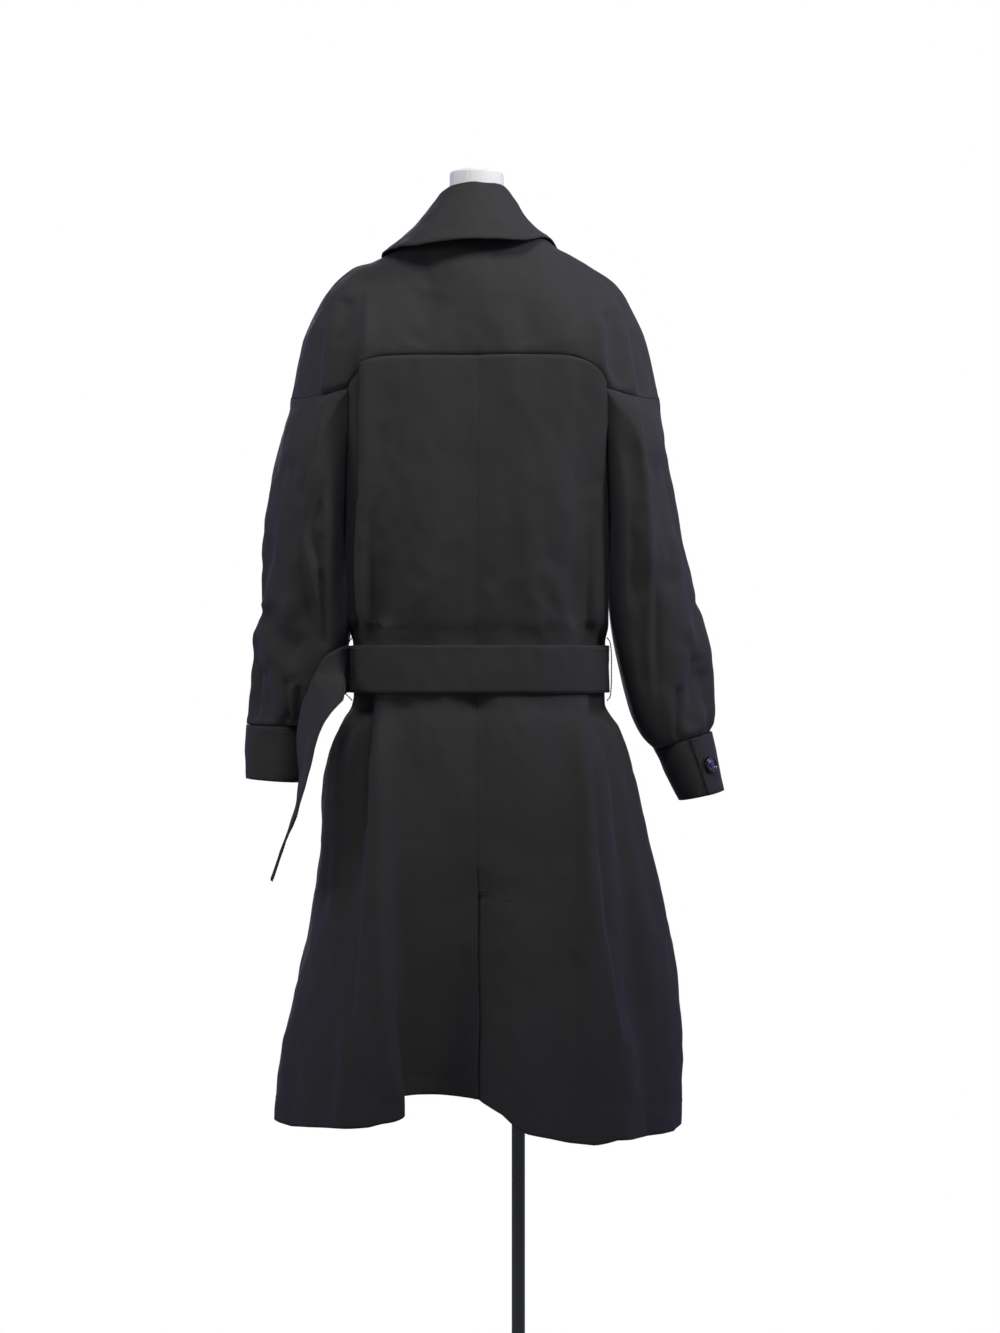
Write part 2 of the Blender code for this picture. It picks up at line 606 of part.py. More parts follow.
def ring(rows, i, side, square_out=1.7, square_in=3.0):
    """The four quarters of a sleeve ring as a fine closed line, from the outer side round the back."""
    get = {name: column[i] for name, column in rows.items()}
    outer = np.array([side * get["outer"], get["middle"], get["outer_height"]])
    inner = np.array([side * get["inner"], get["middle"], get["inner_height"]])
    quarters = []
    fine = np.linspace(0, 1, 41)
    for face, crease, depth in ((1, "back_crease", "back"), (-1, "front_crease", "front")):
        centre = outer + (inner - outer) * get.get(crease, 0.5)
        tip = np.array([0, face * get[depth], 0])
        for end, square in ((outer, square_out), (inner, square_in)):
            a, b, _ = quarter(1.0, 1.0, square, fine)
            quarters.append(centre + a[:, None] * (end - centre) + b[:, None] * tip)
    back_out, back_in, front_out, front_in = quarters
    return [back_out[::-1], back_in, front_in[::-1], front_out]


def sleeve_grid(side):
    """Rings down the sleeve; their points drift from the armhole's spacing to an even one."""
    loop = armhole_loop(side)
    half = YOKE_ROWS + ROW_STEPS[3]
    lengths = np.linalg.norm(np.diff(np.concatenate([loop, loop[:1]]), axis=0), axis=1)
    run = np.r_[0, np.cumsum(lengths)]
    down_back = run[: half + 1] / run[half]
    up_front = (run[half:] - run[half]) / (run[-1] - run[half])
    even = np.linspace(0, 1, half + 1)
    rows = SLEEVES[side]
    rings = [shift_armhole(side, loop)]
    for i in range(len(rows["outer"])):
        keep = max(0.0, 1 - (i + 1) / 5)
        quarters = ring(rows, i, side)
        back_line = np.concatenate([quarters[0], quarters[1][1:]])
        front_line = np.concatenate([quarters[2], quarters[3][1:]])
        back = along(back_line, down_back * keep + even * (1 - keep))
        front = along(front_line, up_front * keep + even * (1 - keep))[1:-1]
        rings.append(np.concatenate([back, front]))
    return np.array(rings)


def shift_armhole(side, loop):
    """Sets the sleeve's head clear of the armhole: down the sleeve outside, and out from the body inside."""
    half = YOKE_ROWS + ROW_STEPS[3]
    turn = np.abs(np.arange(len(loop)) - half)
    inside = ease(1.35 - turn / ROW_STEPS[3])
    moved = loop.copy()
    moved[:, 0] += side * (inside * (CLOTH + LAYER_GAP) + (1 - inside) * SEAM_GAP)
    moved[:, 2] -= (1 - inside) * SEAM_GAP * 1.8
    return moved


def make_sleeves():
    for side, name in ((1, "sleeve_left"), (-1, "sleeve_right")):
        sheet(name, sleeve_grid(side), "charcoal_twill", ring=True)


def cuff_grid(side):
    """A strip round the wrist whose end laps over its start."""
    rows = CUFFS[side]
    lap = CUFF_LAP_DEGREES / 360
    end = CUFF_END_DEGREES[side] / 360
    rings = []
    for i in range(len(rows["outer"])):
        quarters = ring(rows, i, side, square_out=2.2, square_in=2.2)
        whole = np.concatenate([q if k == 0 else q[1:] for k, q in enumerate(quarters)])
        shares = (end - np.linspace(0, 1 + lap, CUFF_COLUMNS + 1)) % 1
        rings.append(along(whole, shares))
    rings = np.array(rings)
    fine = []
    for r in np.linspace(0, len(rings) - 1, CUFF_ROWS + 1):
        low = min(int(r), len(rings) - 2)
        fine.append(rings[low] * (1 - (r - low)) + rings[low + 1] * (r - low))
    grid = np.array(fine)
    way = grid - grid.mean(1, keepdims=True)
    way /= np.linalg.norm(way, axis=-1, keepdims=True)
    around = np.linspace(0, 1 + lap, CUFF_COLUMNS + 1)
    # the first stretch is the outer layer, so the strip spirals in
    out = (CLOTH + LAYER_GAP) * (1 - ease((around - lap) / (1 - lap)))
    return grid + way * out[None, :, None]


def make_cuffs():
    for side, name in ((1, "cuff_left"), (-1, "cuff_right")):
        sheet(name, inset(cuff_grid(side), low=SEAM_GAP), "charcoal_twill")


# ---- collar and lapels ----
def collar_grid():
    at = np.linspace(-1, 1, COLLAR_COLUMNS + 1)
    seam, top, edge = (
        np.stack([through(COLLAR, "round", f"{part}_{axis}", at) for axis in "xyz"], -1)
        for part in ("seam", "top", "edge")
    )
    out = edge - seam
    out[:, 2] = 0
    out /= np.linalg.norm(out, axis=1, keepdims=True)
    inside = top - out * COLLAR_FOLD - np.array([0, 0, COLLAR_FOLD])
    outside = top + out * COLLAR_FOLD - np.array([0, 0, COLLAR_FOLD])
    belly = (outside + edge) / 2 + out * through(COLLAR, "round", "belly", at)[:, None]
    grid = np.zeros((COLLAR_ROWS + 1, COLLAR_COLUMNS + 1, 3))
    for c in range(COLLAR_COLUMNS + 1):
        line = [seam[c], (seam[c] + inside[c]) / 2, inside[c], top[c], outside[c], belly[c], edge[c]]
        keys = np.array([0, 0.2, 0.38, 0.44, 0.50, 0.75, 1.0])
        rows_of = {"key": keys, **dict(zip("xyz", np.array(line).T))}
        crowded = ([0, 0.25, 0.375, 0.5, 0.625, 1], [0, 0.3, 0.39, 0.44, 0.52, 1])
        spread = np.interp(np.linspace(0, 1, COLLAR_ROWS + 1), *crowded)
        grid[:, c] = np.stack([through(rows_of, "key", axis, spread) for axis in "xyz"], -1)
    return grid


def make_collar():
    sheet("collar", collar_grid(), "charcoal_twill")


def lapel_grid(side, front):
    """The turned-back corner of a front, laid on that front's own rows and moved out."""
    count = front.shape[0] - 1
    break_row = sum(ROW_STEPS[:3]) + (2 if side < 0 else 5)
    top_row = count - 2
    normal = outward_front(side, front)
    rows = top_row - break_row
    columns = LAPEL_COLUMNS
    grid = np.zeros((rows + 1, columns + 1, 3))
    for r in range(rows + 1):
        up = r / rows
        row = break_row + r
        start_up = up if side < 0 else 0.35 + 0.65 * up
        reach = through(LAPEL, "up", "reach", start_up)
        for c in range(columns + 1):
            across = reach * c / columns * (front.shape[1] - 1)
            point, way = sample(front, row, across), sample(normal, row, across)
            free = ease((up + 0.15) / 0.6) if side < 0 else ease((up - 0.5) / 0.4)
            roll = LAPEL_ROLL * math.sin(math.pi * c / columns) * free
            lift = LAPEL_LIFT[side] if c else CLOTH + LAYER_GAP
            grid[r, c] = point + way / np.linalg.norm(way) * (lift + roll)
    return grid


def sample(grid, row, column):
    r = min(int(row), grid.shape[0] - 2)
    c = min(int(column), grid.shape[1] - 2)
    a, b = row - r, column - c
    low = grid[r, c] * (1 - b) + grid[r, c + 1] * b
    high = grid[r + 1, c] * (1 - b) + grid[r + 1, c + 1] * b
    return low * (1 - a) + high * a


def make_lapels(fronts):
    for side, name in ((1, "lapel_left"), (-1, "lapel_right")):
        sheet(name, lapel_grid(side, fronts[side]), "charcoal_twill")


# ---- belt, buckle and loops ----
def belt_line():
    """The belt's middle line and its layers: from the buckle round the left side, the back and the right
    side, through the buckle, over its own start and down behind the left sleeve."""
    under_coat = CLOTH / 2 + LAYER_GAP + BELT_THICKNESS / 2
    layer = BELT_THICKNESS + LAYER_GAP
    near = (-1.85, -1.90, -1.94, -1.97, -2.0, -2.03, -2.06, -2.10, -2.15, -2.2)
    path = np.concatenate([np.linspace(2.0, -1.80, 62), near, np.linspace(-2.27, -2.92, 11)])
    points = []
    for around in path:
        point, out = belt_place(around)
        over = layer * ease((-1.88 - around) / 0.12)
        arch = BUCKLE_ARCH * np.exp(-(((around + 2.0) / 0.075) ** 2))
        points.append(point + out * (under_coat + over + arch))
    return np.array(points)


def belt_place(around):
    step = 0.002
    point = body(around, BELT_HEIGHT)
    ahead = body(around + step, BELT_HEIGHT) - body(around - step, BELT_HEIGHT)
    out = np.array([ahead[1], -ahead[0], 0.0])
    out /= np.linalg.norm(out)
    if np.dot(out[:2], point[:2]) < 0:
        out = -out
    lap = 0.0050 * ease((point[0] + 0.150) / 0.120) * ease((FRONT_OVERLAP + 0.035 - point[0]) / 0.035)
    if abs(around) % 4 > 1 and point[1] < 0:
        point = point + out * lap
    return point, out


def make_belt():
    ring_part = belt_line()
    hang = smooth_line(
        np.concatenate([ring_part[-1:], np.stack([BELT_END["x"], BELT_END["y"], BELT_END["z"]], -1)]), 24
    )
    line = np.concatenate([ring_part, hang[1:]])
    turns = np.interp(
        np.linspace(0, 1, len(hang)), np.linspace(0, 1, len(BELT_END["turn"]) + 1), np.r_[0, BELT_END["turn"]]
    )
    rows = []
    for i, point in enumerate(line):
        wide = np.array([0.0, 0.0, 1.0])
        if i >= len(ring_part):
            k = i - len(ring_part) + 1
            ahead = line[min(i + 1, len(line) - 1)] - line[i - 1]
            ahead /= np.linalg.norm(ahead)
            flat = np.array([-ahead[2], 0.0, ahead[0]])
            flat = flat / max(np.linalg.norm(flat), 1e-9) * np.sign(flat[2] + 1e-9)
            begin = ease(k / 6) * ease((math.hypot(ahead[0], ahead[2]) - 0.25) / 0.5)
            wide = wide * (1 - begin) + flat * begin
            wide -= ahead * np.dot(wide, ahead)
            wide /= np.linalg.norm(wide)
            side = np.cross(ahead, wide)
            angle = math.radians(turns[k])
            wide = wide * math.cos(angle) + side * math.sin(angle)
        rows.append([point + wide * BELT_WIDTH * (share - 0.5) for share in (0, 0.5, 1)])
    sheet("belt", np.array(rows), "charcoal_twill", thickness=BELT_THICKNESS)


def make_buckle():
    point, out = belt_place(2.0)
    under = CLOTH / 2 + 3 * LAYER_GAP + BELT_THICKNESS * 2 + BUCKLE_BAR / 2
    depth = -(point[1] + out[1] * under)
    outline = [(-1, -1), (1, -1), (1, 1), (-1, 1)]
    frame = bpy.data.curves.new("belt_buckle", "CURVE")
    frame.dimensions = "2D"
    frame.fill_mode = "BOTH"
    frame.extrude = BUCKLE_BAR / 2
    loops = [(0.0, BUCKLE_WIDTH / 2, BUCKLE_HEIGHT / 2)]
    gap = (BUCKLE_WIDTH / 2 - 1.5 * BUCKLE_RAIL) / 2
    loops += [(side * (gap + BUCKLE_RAIL / 2), gap, BUCKLE_HEIGHT / 2 - BUCKLE_RAIL) for side in (-1, 1)]
    for middle, half_width, half_height in loops:
        line = frame.splines.new("POLY")
        line.points.add(3)
        line.use_cyclic_u = True
        for spot, (sx, sy) in zip(line.points, outline):
            spot.co = (middle + sx * half_width, sy * half_height, 0, 1)
    made = add("belt_buckle", frame, "black_gloss", (COAT_FROM_POLE, -depth, BELT_HEIGHT))
    made.rotation_euler = (math.pi / 2, 0, 0)


def make_loops():
    for side, name in ((1, "belt_loop_left"), (-1, "belt_loop_right")):
        rise = BELT_WIDTH / 2
        reach = LOOP_REACH[side]
        route = []
        for height, out in (
            (rise + 0.010, 0.0016),
            (rise + 0.006, 0.0046),
            (rise + 0.001, reach),
            (0.4 * rise, reach + 0.0010),
            (-0.4 * rise, reach + 0.0010),
            (-rise - 0.001, reach),
            (-rise - 0.006, 0.0052),
            (-rise - 0.010, 0.0016),
        ):
            point = body(side * 1.0, min(max(BELT_HEIGHT + height, FLAT_BELOW_BELT), FLAT_ABOVE_BELT))
            route.append((point[0] + side * (out + 0.0006), point[1], BELT_HEIGHT + height))
        line = smooth_line(route, 22)
        curve = bpy.data.curves.new(name, "CURVE")
        curve.dimensions = "3D"
        curve.bevel_depth = LOOP_RADIUS
        curve.bevel_resolution = 1
        curve.use_fill_caps = True
        spline = curve.splines.new("POLY")
        spline.points.add(len(line) - 1)
        for spot, point in zip(spline.points, line):
            spot.co = (*point, 1)
        add(name, curve, "black_thread")


# ---- buttons ----
def button(name, radius, point, out):
    """A domed disc turned from its profile, its back on the cloth."""
    half = BUTTON_THICKNESS
    profile = [
        (0, half), (0.45 * radius, 0.94 * half), (0.78 * radius, 0.74 * half), (0.95 * radius, 0.45 * half),
        (radius, 0.20 * half), (0.94 * radius, 0), (0, 0),
    ]
    mesh = bpy.data.meshes.new(name)
    mesh.from_pydata([(x, 0, z) for x, z in profile], [(i, i + 1) for i in range(len(profile) - 1)], [])
    made = add(name, mesh, "black_gloss")
    spin = made.modifiers.new("turned", "SCREW")
    spin.steps = spin.render_steps = 16
    spin.use_merge_vertices = True
    spin.merge_threshold = 0.00001
    seat = CLOTH / 2 + LAYER_GAP + 0.0003
    spot = np.array(point) + np.array(out) * seat
    made.location = (spot[0] + COAT_FROM_POLE, spot[1], spot[2])
    made.rotation_mode = "QUATERNION"
    made.rotation_quaternion = Vector(out).to_track_quat("Z", "Y")


def make_front_buttons(front):
    normal = outward_front(-1, front)
    for i, height in enumerate(BUTTON_ROWS):
        for across, where in ((BUTTON_COLUMN, "edge"), (-BUTTON_COLUMN, "middle")):
            best = min(
                ((r, c) for r in np.arange(0, front.shape[0] - 6, 0.1) for c in np.arange(0, 9, 0.1)),
                key=lambda spot: abs(sample(front, *spot)[2] - height) + abs(sample(front, *spot)[0] - across),
            )
            out = sample(normal, *best)
            out /= np.linalg.norm(out)
            button(f"front_button_{where}_{i + 1}", BUTTON_RADIUS, sample(front, *best), out)


def make_cuff_buttons():
    for side, name in ((1, "cuff_button_left"), (-1, "cuff_button_right")):
        grid = cuff_grid(side)
        column = CUFF_COLUMNS * CUFF_BUTTON_DEGREES / (360 + CUFF_LAP_DEGREES)
        middle = CUFF_ROWS / 2
        point = sample(grid, middle, column)
        across = sample(grid, middle, column + 0.5) - sample(grid, middle, column)
        down = sample(grid, middle + 0.5, column) - point
        out = np.cross(across, down)
        out /= np.linalg.norm(out)
        if np.dot(out, point - grid.mean((0, 1))) < 0:
            out = -out
        button(name, CUFF_BUTTON_RADIUS, point, out)


# ---- dress form and stand ----
def form_rings():
    rings = [
        (z, z, w, w, b, f, 2.5)
        for z, w, b, f in zip(FORM["height"], FORM["half_width"], FORM["back"], FORM["front"])
    ]
    drop = CLOTH / 2 + FORM_GAP
    lines = {side: shoulder_line(side, np.linspace(0, 1, SHOULDER_COLUMNS + 1)) for side in (1, -1)}
    for k in (4, 3, 2, 1):
        spots = {}
        for side, line in lines.items():
            way = line[k + 1] - line[k - 1]
            out = np.array([-way[2] * side, 0, way[0] * side]) / np.linalg.norm(way)
            spots[side] = line[k] - out * drop
        depth = SHOULDER_DEPTH_NECK + (SHOULDER_DEPTH_TIP - SHOULDER_DEPTH_NECK) * k / 4
        left, right = spots[1], spots[-1]
        rings.append(
            (right[2], left[2], left[0] - FORM_CENTRE, FORM_CENTRE - right[0], depth, 0.62 * depth, 2)
        )
    rings.append((1.420, 1.416, 0.048, 0.043, 0.027, 0.026, 2.0))
    rings.append((1.437, 1.437, NECK_RADIUS, NECK_RADIUS, NECK_RADIUS, NECK_RADIUS, 2.0))
    return rings


def make_form():
    columns = FORM_COLUMNS
    quarter_steps = columns // 4
    loops = []
    for low, high, left, right, back, front, square in form_rings():
        loop = []
        faces_round = ((left, back, 1, 1), (left, front, 1, -1), (right, front, -1, -1), (right, back, -1, 1))
        for width, depth, across, along_y in faces_round:
            shares = np.arange(quarter_steps) / quarter_steps
            if across * along_y < 0:
                shares = 1 - shares
            x, y, _ = quarter(width, depth, square, shares)
            tilt = (high - low) / (left + right)
            loop += [
                (FORM_CENTRE + across * a, along_y * b, low + tilt * (across * a + right)) for a, b in zip(x, y)
            ]
        loops.append(loop)
    points = [p for loop in loops for p in loop]
    faces = [
        (low + c, low + columns + c, low + columns + (c + 1) % columns, low + (c + 1) % columns)
        for low in range(0, len(points) - columns, columns)
        for c in range(columns)
    ]
    faces.append(tuple(range(columns)))
    faces.append(tuple(len(points) - 1 - c for c in range(columns)))
    mesh = bpy.data.meshes.new("form_torso")
    mesh.from_pydata(points, [], faces)
    mesh.shade_smooth()
    add("form_torso", mesh, "white_cover")


def make_cylinder(name, radius, low, high, centre, material, sides, bevel=0.0):
    bpy.ops.mesh.primitive_cylinder_add(vertices=sides, radius=radius, depth=high - low)
    made = bpy.context.object
    made.name = made.data.name = name
    made.location = (centre, 0, (low + high) / 2)
    made.data.materials.append(MATERIAL[material])
    if bevel:
        edge = made.modifiers.new("edge", "BEVEL")
        edge.width = bevel
        edge.segments = 2
        edge.limit_method = "ANGLE"
    for holder in list(made.users_collection):
        holder.objects.unlink(made)
    PARTS.objects.link(made)


def make_stand():
    neck_low = form_rings()[-1][0] + SEAM_GAP
    neck_at = COAT_FROM_POLE + NECK_CENTRE
    make_cylinder("form_neck", NECK_RADIUS, neck_low, NECK_TOP, neck_at, "white_cover", 32, 0.003)
    pole_low = FOOT_THICKNESS + SEAM_GAP
    pole_high = FORM["height"][0] - SEAM_GAP
    make_cylinder("stand_pole", POLE_RADIUS, pole_low, pole_high, 0, "grey_enamel", 20)
    make_cylinder("stand_base", FOOT_RADIUS, 0, FOOT_THICKNESS, 0, "grey_enamel", 56, 0.002)


def make_material(name, colour, roughness, metallic):
    material = bpy.data.materials.new(name)
    material.use_nodes = True
    shader = material.node_tree.nodes["Principled BSDF"]
    shader.inputs["Base Color"].default_value = (*colour, 1)
    shader.inputs["Roughness"].default_value = roughness
    shader.inputs["Metallic"].default_value = metallic
    return material


for old in list(bpy.data.objects):
    bpy.data.objects.remove(old, do_unlink=True)
PARTS = bpy.data.collections.new("trench_coat_on_a_dress_form")
bpy.context.scene.collection.children.link(PARTS)
MATERIAL = {name: make_material(name, *finish) for name, finish in MATERIALS.items()}

make_backs()
make_yoke()
FRONTS = make_fronts()
make_sleeves()
make_cuffs()
make_collar()
make_lapels(FRONTS)
make_belt()
make_buckle()
make_loops()
make_front_buttons(FRONTS[-1])
make_cuff_buttons()
make_form()
make_stand()
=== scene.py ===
import math

import bpy
import numpy as np
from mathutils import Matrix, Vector, noise


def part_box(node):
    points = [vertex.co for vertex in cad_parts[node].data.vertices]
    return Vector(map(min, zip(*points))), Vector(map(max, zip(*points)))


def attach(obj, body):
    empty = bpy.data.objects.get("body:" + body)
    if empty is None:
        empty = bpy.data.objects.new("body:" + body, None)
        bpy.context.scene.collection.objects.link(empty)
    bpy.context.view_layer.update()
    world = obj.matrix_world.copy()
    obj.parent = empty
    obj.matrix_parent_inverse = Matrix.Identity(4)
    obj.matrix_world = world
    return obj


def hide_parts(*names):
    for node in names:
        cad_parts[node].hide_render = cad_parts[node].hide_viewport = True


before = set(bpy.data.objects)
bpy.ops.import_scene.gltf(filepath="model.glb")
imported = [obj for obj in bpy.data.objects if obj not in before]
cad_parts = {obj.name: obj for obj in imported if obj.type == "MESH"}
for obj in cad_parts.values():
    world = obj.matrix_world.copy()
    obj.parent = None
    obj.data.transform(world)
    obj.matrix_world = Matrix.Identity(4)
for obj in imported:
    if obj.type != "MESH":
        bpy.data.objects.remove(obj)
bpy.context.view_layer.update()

print("frame loaded:", len(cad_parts), "nodes")

# the coat's own coordinates: X is 0 at its centre back, +X is the wearer's left, the front faces -Y, metres
cloth = {
    "thickness": 0.0016,
    "layerGap": 0.0005,
    "seamGap": 0.00012,
    "coatFromPole": 0.048,
    "drapeHeight": 0.0065,  # the broadest waves
    "wrinkleHeight": 0.0034,  # wear wrinkles
    "rumpleHeight": 0.00085,  # small ones between them
    "gatherHeight": 0.0030,  # the short ones that the belt draws in
}
# points along a section's quarter, along the armhole's search, to each point of a smooth line,
# and along a shoulder
fineness = {"section": 121, "armhole": 401, "line": 20, "shoulder": 60}


def bothSides(name, node):
    # side, piece and node, the wearer's left first
    return [(1, f"{name}Left", f"{node}_left"), (-1, f"{name}Right", f"{node}_right")]


def table(columns, *rows):
    return {name: np.array([row[i] for row in rows], float) for i, name in enumerate(columns.split())}


def ease(t):
    t = np.clip(t, 0, 1)
    return t * t * (3 - 2 * t)


def hermite(start, end, leave, arrive, t):
    near = (2 * t**3 - 3 * t**2 + 1) * start + (t**3 - 2 * t**2 + t) * leave
    return near + (3 * t**2 - 2 * t**3) * end + (t**3 - t**2) * arrive


def through(rows, key, column, at):
    # reads a column smoothly between its rows, level past its ends
    x, y = rows[key], rows[column]
    rise = np.diff(y) / np.diff(x)
    slope = np.gradient(y, x)
    slope[1:-1][rise[:-1] * rise[1:] <= 0] = 0
    limit = 2 * np.minimum(np.abs(rise[:-1]), np.abs(rise[1:]))
    slope[1:-1] = np.clip(slope[1:-1], -limit, limit)
    at = np.clip(np.asarray(at, float), x[0], x[-1])
    i = np.clip(np.searchsorted(x, at) - 1, 0, len(x) - 2)
    step = x[i + 1] - x[i]
    return hermite(y[i], y[i + 1], step * slope[i], step * slope[i + 1], (at - x[i]) / step)


def runAlong(points):
    return np.r_[0, np.cumsum(np.linalg.norm(np.diff(points, axis=0), axis=1))]


def alongLine(points, shares):
    run = runAlong(points)
    return np.stack([np.interp(np.asarray(shares) * run[-1], run, points[:, k]) for k in range(3)], -1)


def smoothLine(points, count):
    points = np.asarray(points, float)
    run = runAlong(points)
    rows = {"run": run, "x": points[:, 0], "y": points[:, 1], "z": points[:, 2]}
    fine = np.linspace(0, run[-1], fineness["line"] * count)
    line = np.stack([through(rows, "run", axis, fine) for axis in "xyz"], -1)
    return alongLine(line, np.linspace(0, 1, count))


def refineRows(rings, spacing):
    # more rows between the given ones, on a smooth curve through them
    gaps = np.linalg.norm(np.diff(rings, axis=0), axis=-1).mean(1)
    key = np.r_[0, np.cumsum(gaps)]
    slope = np.gradient(rings, key, axis=0)
    at = np.linspace(0, key[-1], int(key[-1] / spacing) + 1)
    i = np.clip(np.searchsorted(key, at) - 1, 0, len(key) - 2)
    step = (key[i + 1] - key[i])[:, None, None]
    t = (at - key[i])[:, None, None] / step
    return hermite(rings[i], rings[i + 1], step * slope[i], step * slope[i + 1], t)


def quarterSection(halfWidth, depth, square, share):
    # a quarter of a rounded section, from its centre line (share 0) to its side (share 1), by length
    turn = np.linspace(0, math.pi / 2, fineness["section"])
    halfWidth, depth, square, share = np.broadcast_arrays(halfWidth, depth, square, share)
    x = halfWidth[..., None] * np.sin(turn) ** (2 / square[..., None])
    y = depth[..., None] * np.cos(turn) ** (2 / square[..., None])
    steps = np.hypot(np.diff(x, axis=-1), np.diff(y, axis=-1))
    run = np.concatenate([np.zeros_like(x[..., :1]), np.cumsum(steps, -1)], -1)
    total = run[..., -1]
    i = np.clip((run < (share * total)[..., None]).sum(-1), 1, len(turn) - 1)[..., None]
    low, high = (np.take_along_axis(run, i + k, -1)[..., 0] for k in (-1, 0))
    part = (share * total - low) / np.maximum(high - low, 1e-12)
    sides = []
    for line in (x, y):
        before = np.take_along_axis(line, i - 1, -1)[..., 0]
        sides.append(before * (1 - part) + np.take_along_axis(line, i, -1)[..., 0] * part)
    return sides[0], sides[1], total


body = {
    "underarm": 1.105,
    "yokeMiddle": 1.271,
    "yokeEnd": 1.236,
    "seamDrop": 9,  # how near the armhole the yoke seam drops
    "flatBelowBelt": 0.868,
    "flatAboveBelt": 0.938,
    "rowSteps": (120, 18, 56, 36),  # hem to belt, across the belt, to the underarm, up the armhole
    "yokeRows": 48,
    "neckColumns": 30,
    "shoulderColumns": 100,
    "sections": table(
        "height left right back front backSquare frontSquare",
        (0.355, 0.241, 0.238, 0.176, 0.180, 2.3, 2.2),
        (0.407, 0.238, 0.239, 0.169, 0.173, 2.3, 2.2),
        (0.460, 0.230, 0.239, 0.162, 0.168, 2.4, 2.2),
        (0.570, 0.207, 0.232, 0.146, 0.154, 2.5, 2.2),
        (0.700, 0.189, 0.204, 0.130, 0.138, 2.6, 2.3),
        (0.775, 0.185, 0.187, 0.121, 0.129, 2.7, 2.3),
        (0.840, 0.167, 0.168, 0.108, 0.117, 2.8, 2.4),
        (0.868, 0.149, 0.152, 0.100, 0.109, 2.8, 2.4),
        (0.938, 0.149, 0.152, 0.100, 0.109, 2.8, 2.4),
        (0.962, 0.1545, 0.1548, 0.1058, 0.1165, 2.9, 2.4),
        (1.040, 0.157, 0.1550, 0.114, 0.130, 3.1, 2.5),
        (1.105, 0.157, 0.1545, 0.118, 0.133, 3.4, 2.7),
        (1.180, 0.158, 0.1555, 0.119, 0.131, 4.0, 3.2),
        (1.242, 0.161, 0.1585, 0.118, 0.122, 4.8, 4.0),
        (1.290, 0.163, 0.1600, 0.116, 0.112, 4.8, 4.0),
    ),
    # how far round the armhole has come from the side
    "armhole": table(
        "height back front",
        (1.105, 0.000, 0.000),
        (1.118, 0.036, 0.034),
        (1.150, 0.062, 0.058),
        (1.190, 0.081, 0.075),
        (1.236, 0.092, 0.086),
    ),
    # large folds: metres round from the centre back or front, out is +
    "foldBegins": 0.06,
    "foldEnds": 0.02,
    "folds": table(
        "front fromTop fromFoot top foot widthTop widthFoot depthTop depthFoot",
        (0, 0.000, 0.050, 0.760, 0.330, 0.030, 0.062, 0.000, -0.062),
        (0, 0.116, 0.150, 0.858, 0.330, 0.015, 0.055, 0.008, 0.036),
        (0, 0.136, 0.170, 0.858, 0.330, 0.013, 0.024, -0.011, -0.008),
        (0, -0.139, -0.150, 0.858, 0.330, 0.014, 0.060, 0.008, 0.034),
        (0, -0.157, -0.205, 0.858, 0.330, 0.012, 0.026, -0.010, -0.008),
        (0, 0.112, 0.116, 1.060, 0.952, 0.012, 0.010, -0.003, -0.010),
        (0, -0.122, -0.118, 1.060, 0.952, 0.014, 0.010, -0.003, -0.010),
        (0, 0.138, 0.138, 1.230, 0.945, 0.020, 0.016, 0.003, 0.004),
        (0, -0.148, -0.148, 1.230, 0.945, 0.020, 0.016, 0.003, 0.004),
        (1, 0.150, 0.190, 0.858, 0.330, 0.020, 0.050, 0.006, 0.026),
        (1, -0.150, -0.190, 0.858, 0.330, 0.020, 0.050, 0.006, 0.024),
        (1, 0.105, 0.120, 0.858, 0.330, 0.018, 0.034, -0.007, -0.016),
        (1, -0.110, -0.125, 0.858, 0.330, 0.018, 0.034, -0.007, -0.018),
        (1, 0.120, 0.118, 1.080, 0.952, 0.016, 0.012, -0.003, -0.009),
        (1, -0.120, -0.118, 1.080, 0.952, 0.016, 0.012, -0.003, -0.009),
    ),
    # height of the hem by quarters of the girth: 0 centre back, 1 and -1 sides, 2 and -2 centre front
    "hem": table(
        "quarter height",
        (-2.4, 0.372), (-2.0, 0.374), (-1.5, 0.375), (-1.0, 0.370), (-0.8, 0.365), (-0.6, 0.3675),
        (-0.45, 0.372), (-0.38, 0.3675), (-0.3, 0.370), (-0.25, 0.3735), (-0.17, 0.378), (-0.13, 0.386),
        (-0.09, 0.398), (-0.03, 0.408), (0.0, 0.4125), (0.1, 0.413), (0.2, 0.4145), (0.255, 0.4145),
        (0.27, 0.408), (0.285, 0.4005), (0.32, 0.392), (0.36, 0.3865), (0.45, 0.3845), (0.55, 0.381),
        (0.7, 0.3745), (0.85, 0.375), (1.0, 0.3775), (1.5, 0.376), (2.0, 0.374), (2.4, 0.372),
    ),
}  # fmt: skip
shoulders = {
    1: table(
        "reach height",
        (0.073, 1.425), (0.100, 1.4075), (0.127, 1.3935), (0.148, 1.383), (0.169, 1.370),
        (0.182, 1.355), (0.193, 1.337), (0.208, 1.304), (0.2165, 1.272), (0.2215, 1.245), (0.2240, 1.233),
    ),
    -1: table(
        "reach height",
        (0.055, 1.4325), (0.092, 1.4105), (0.122, 1.394), (0.143, 1.382), (0.161, 1.3705),
        (0.173, 1.356), (0.184, 1.337), (0.199, 1.304), (0.2075, 1.272), (0.2135, 1.245), (0.2160, 1.233),
    ),
}  # fmt: skip


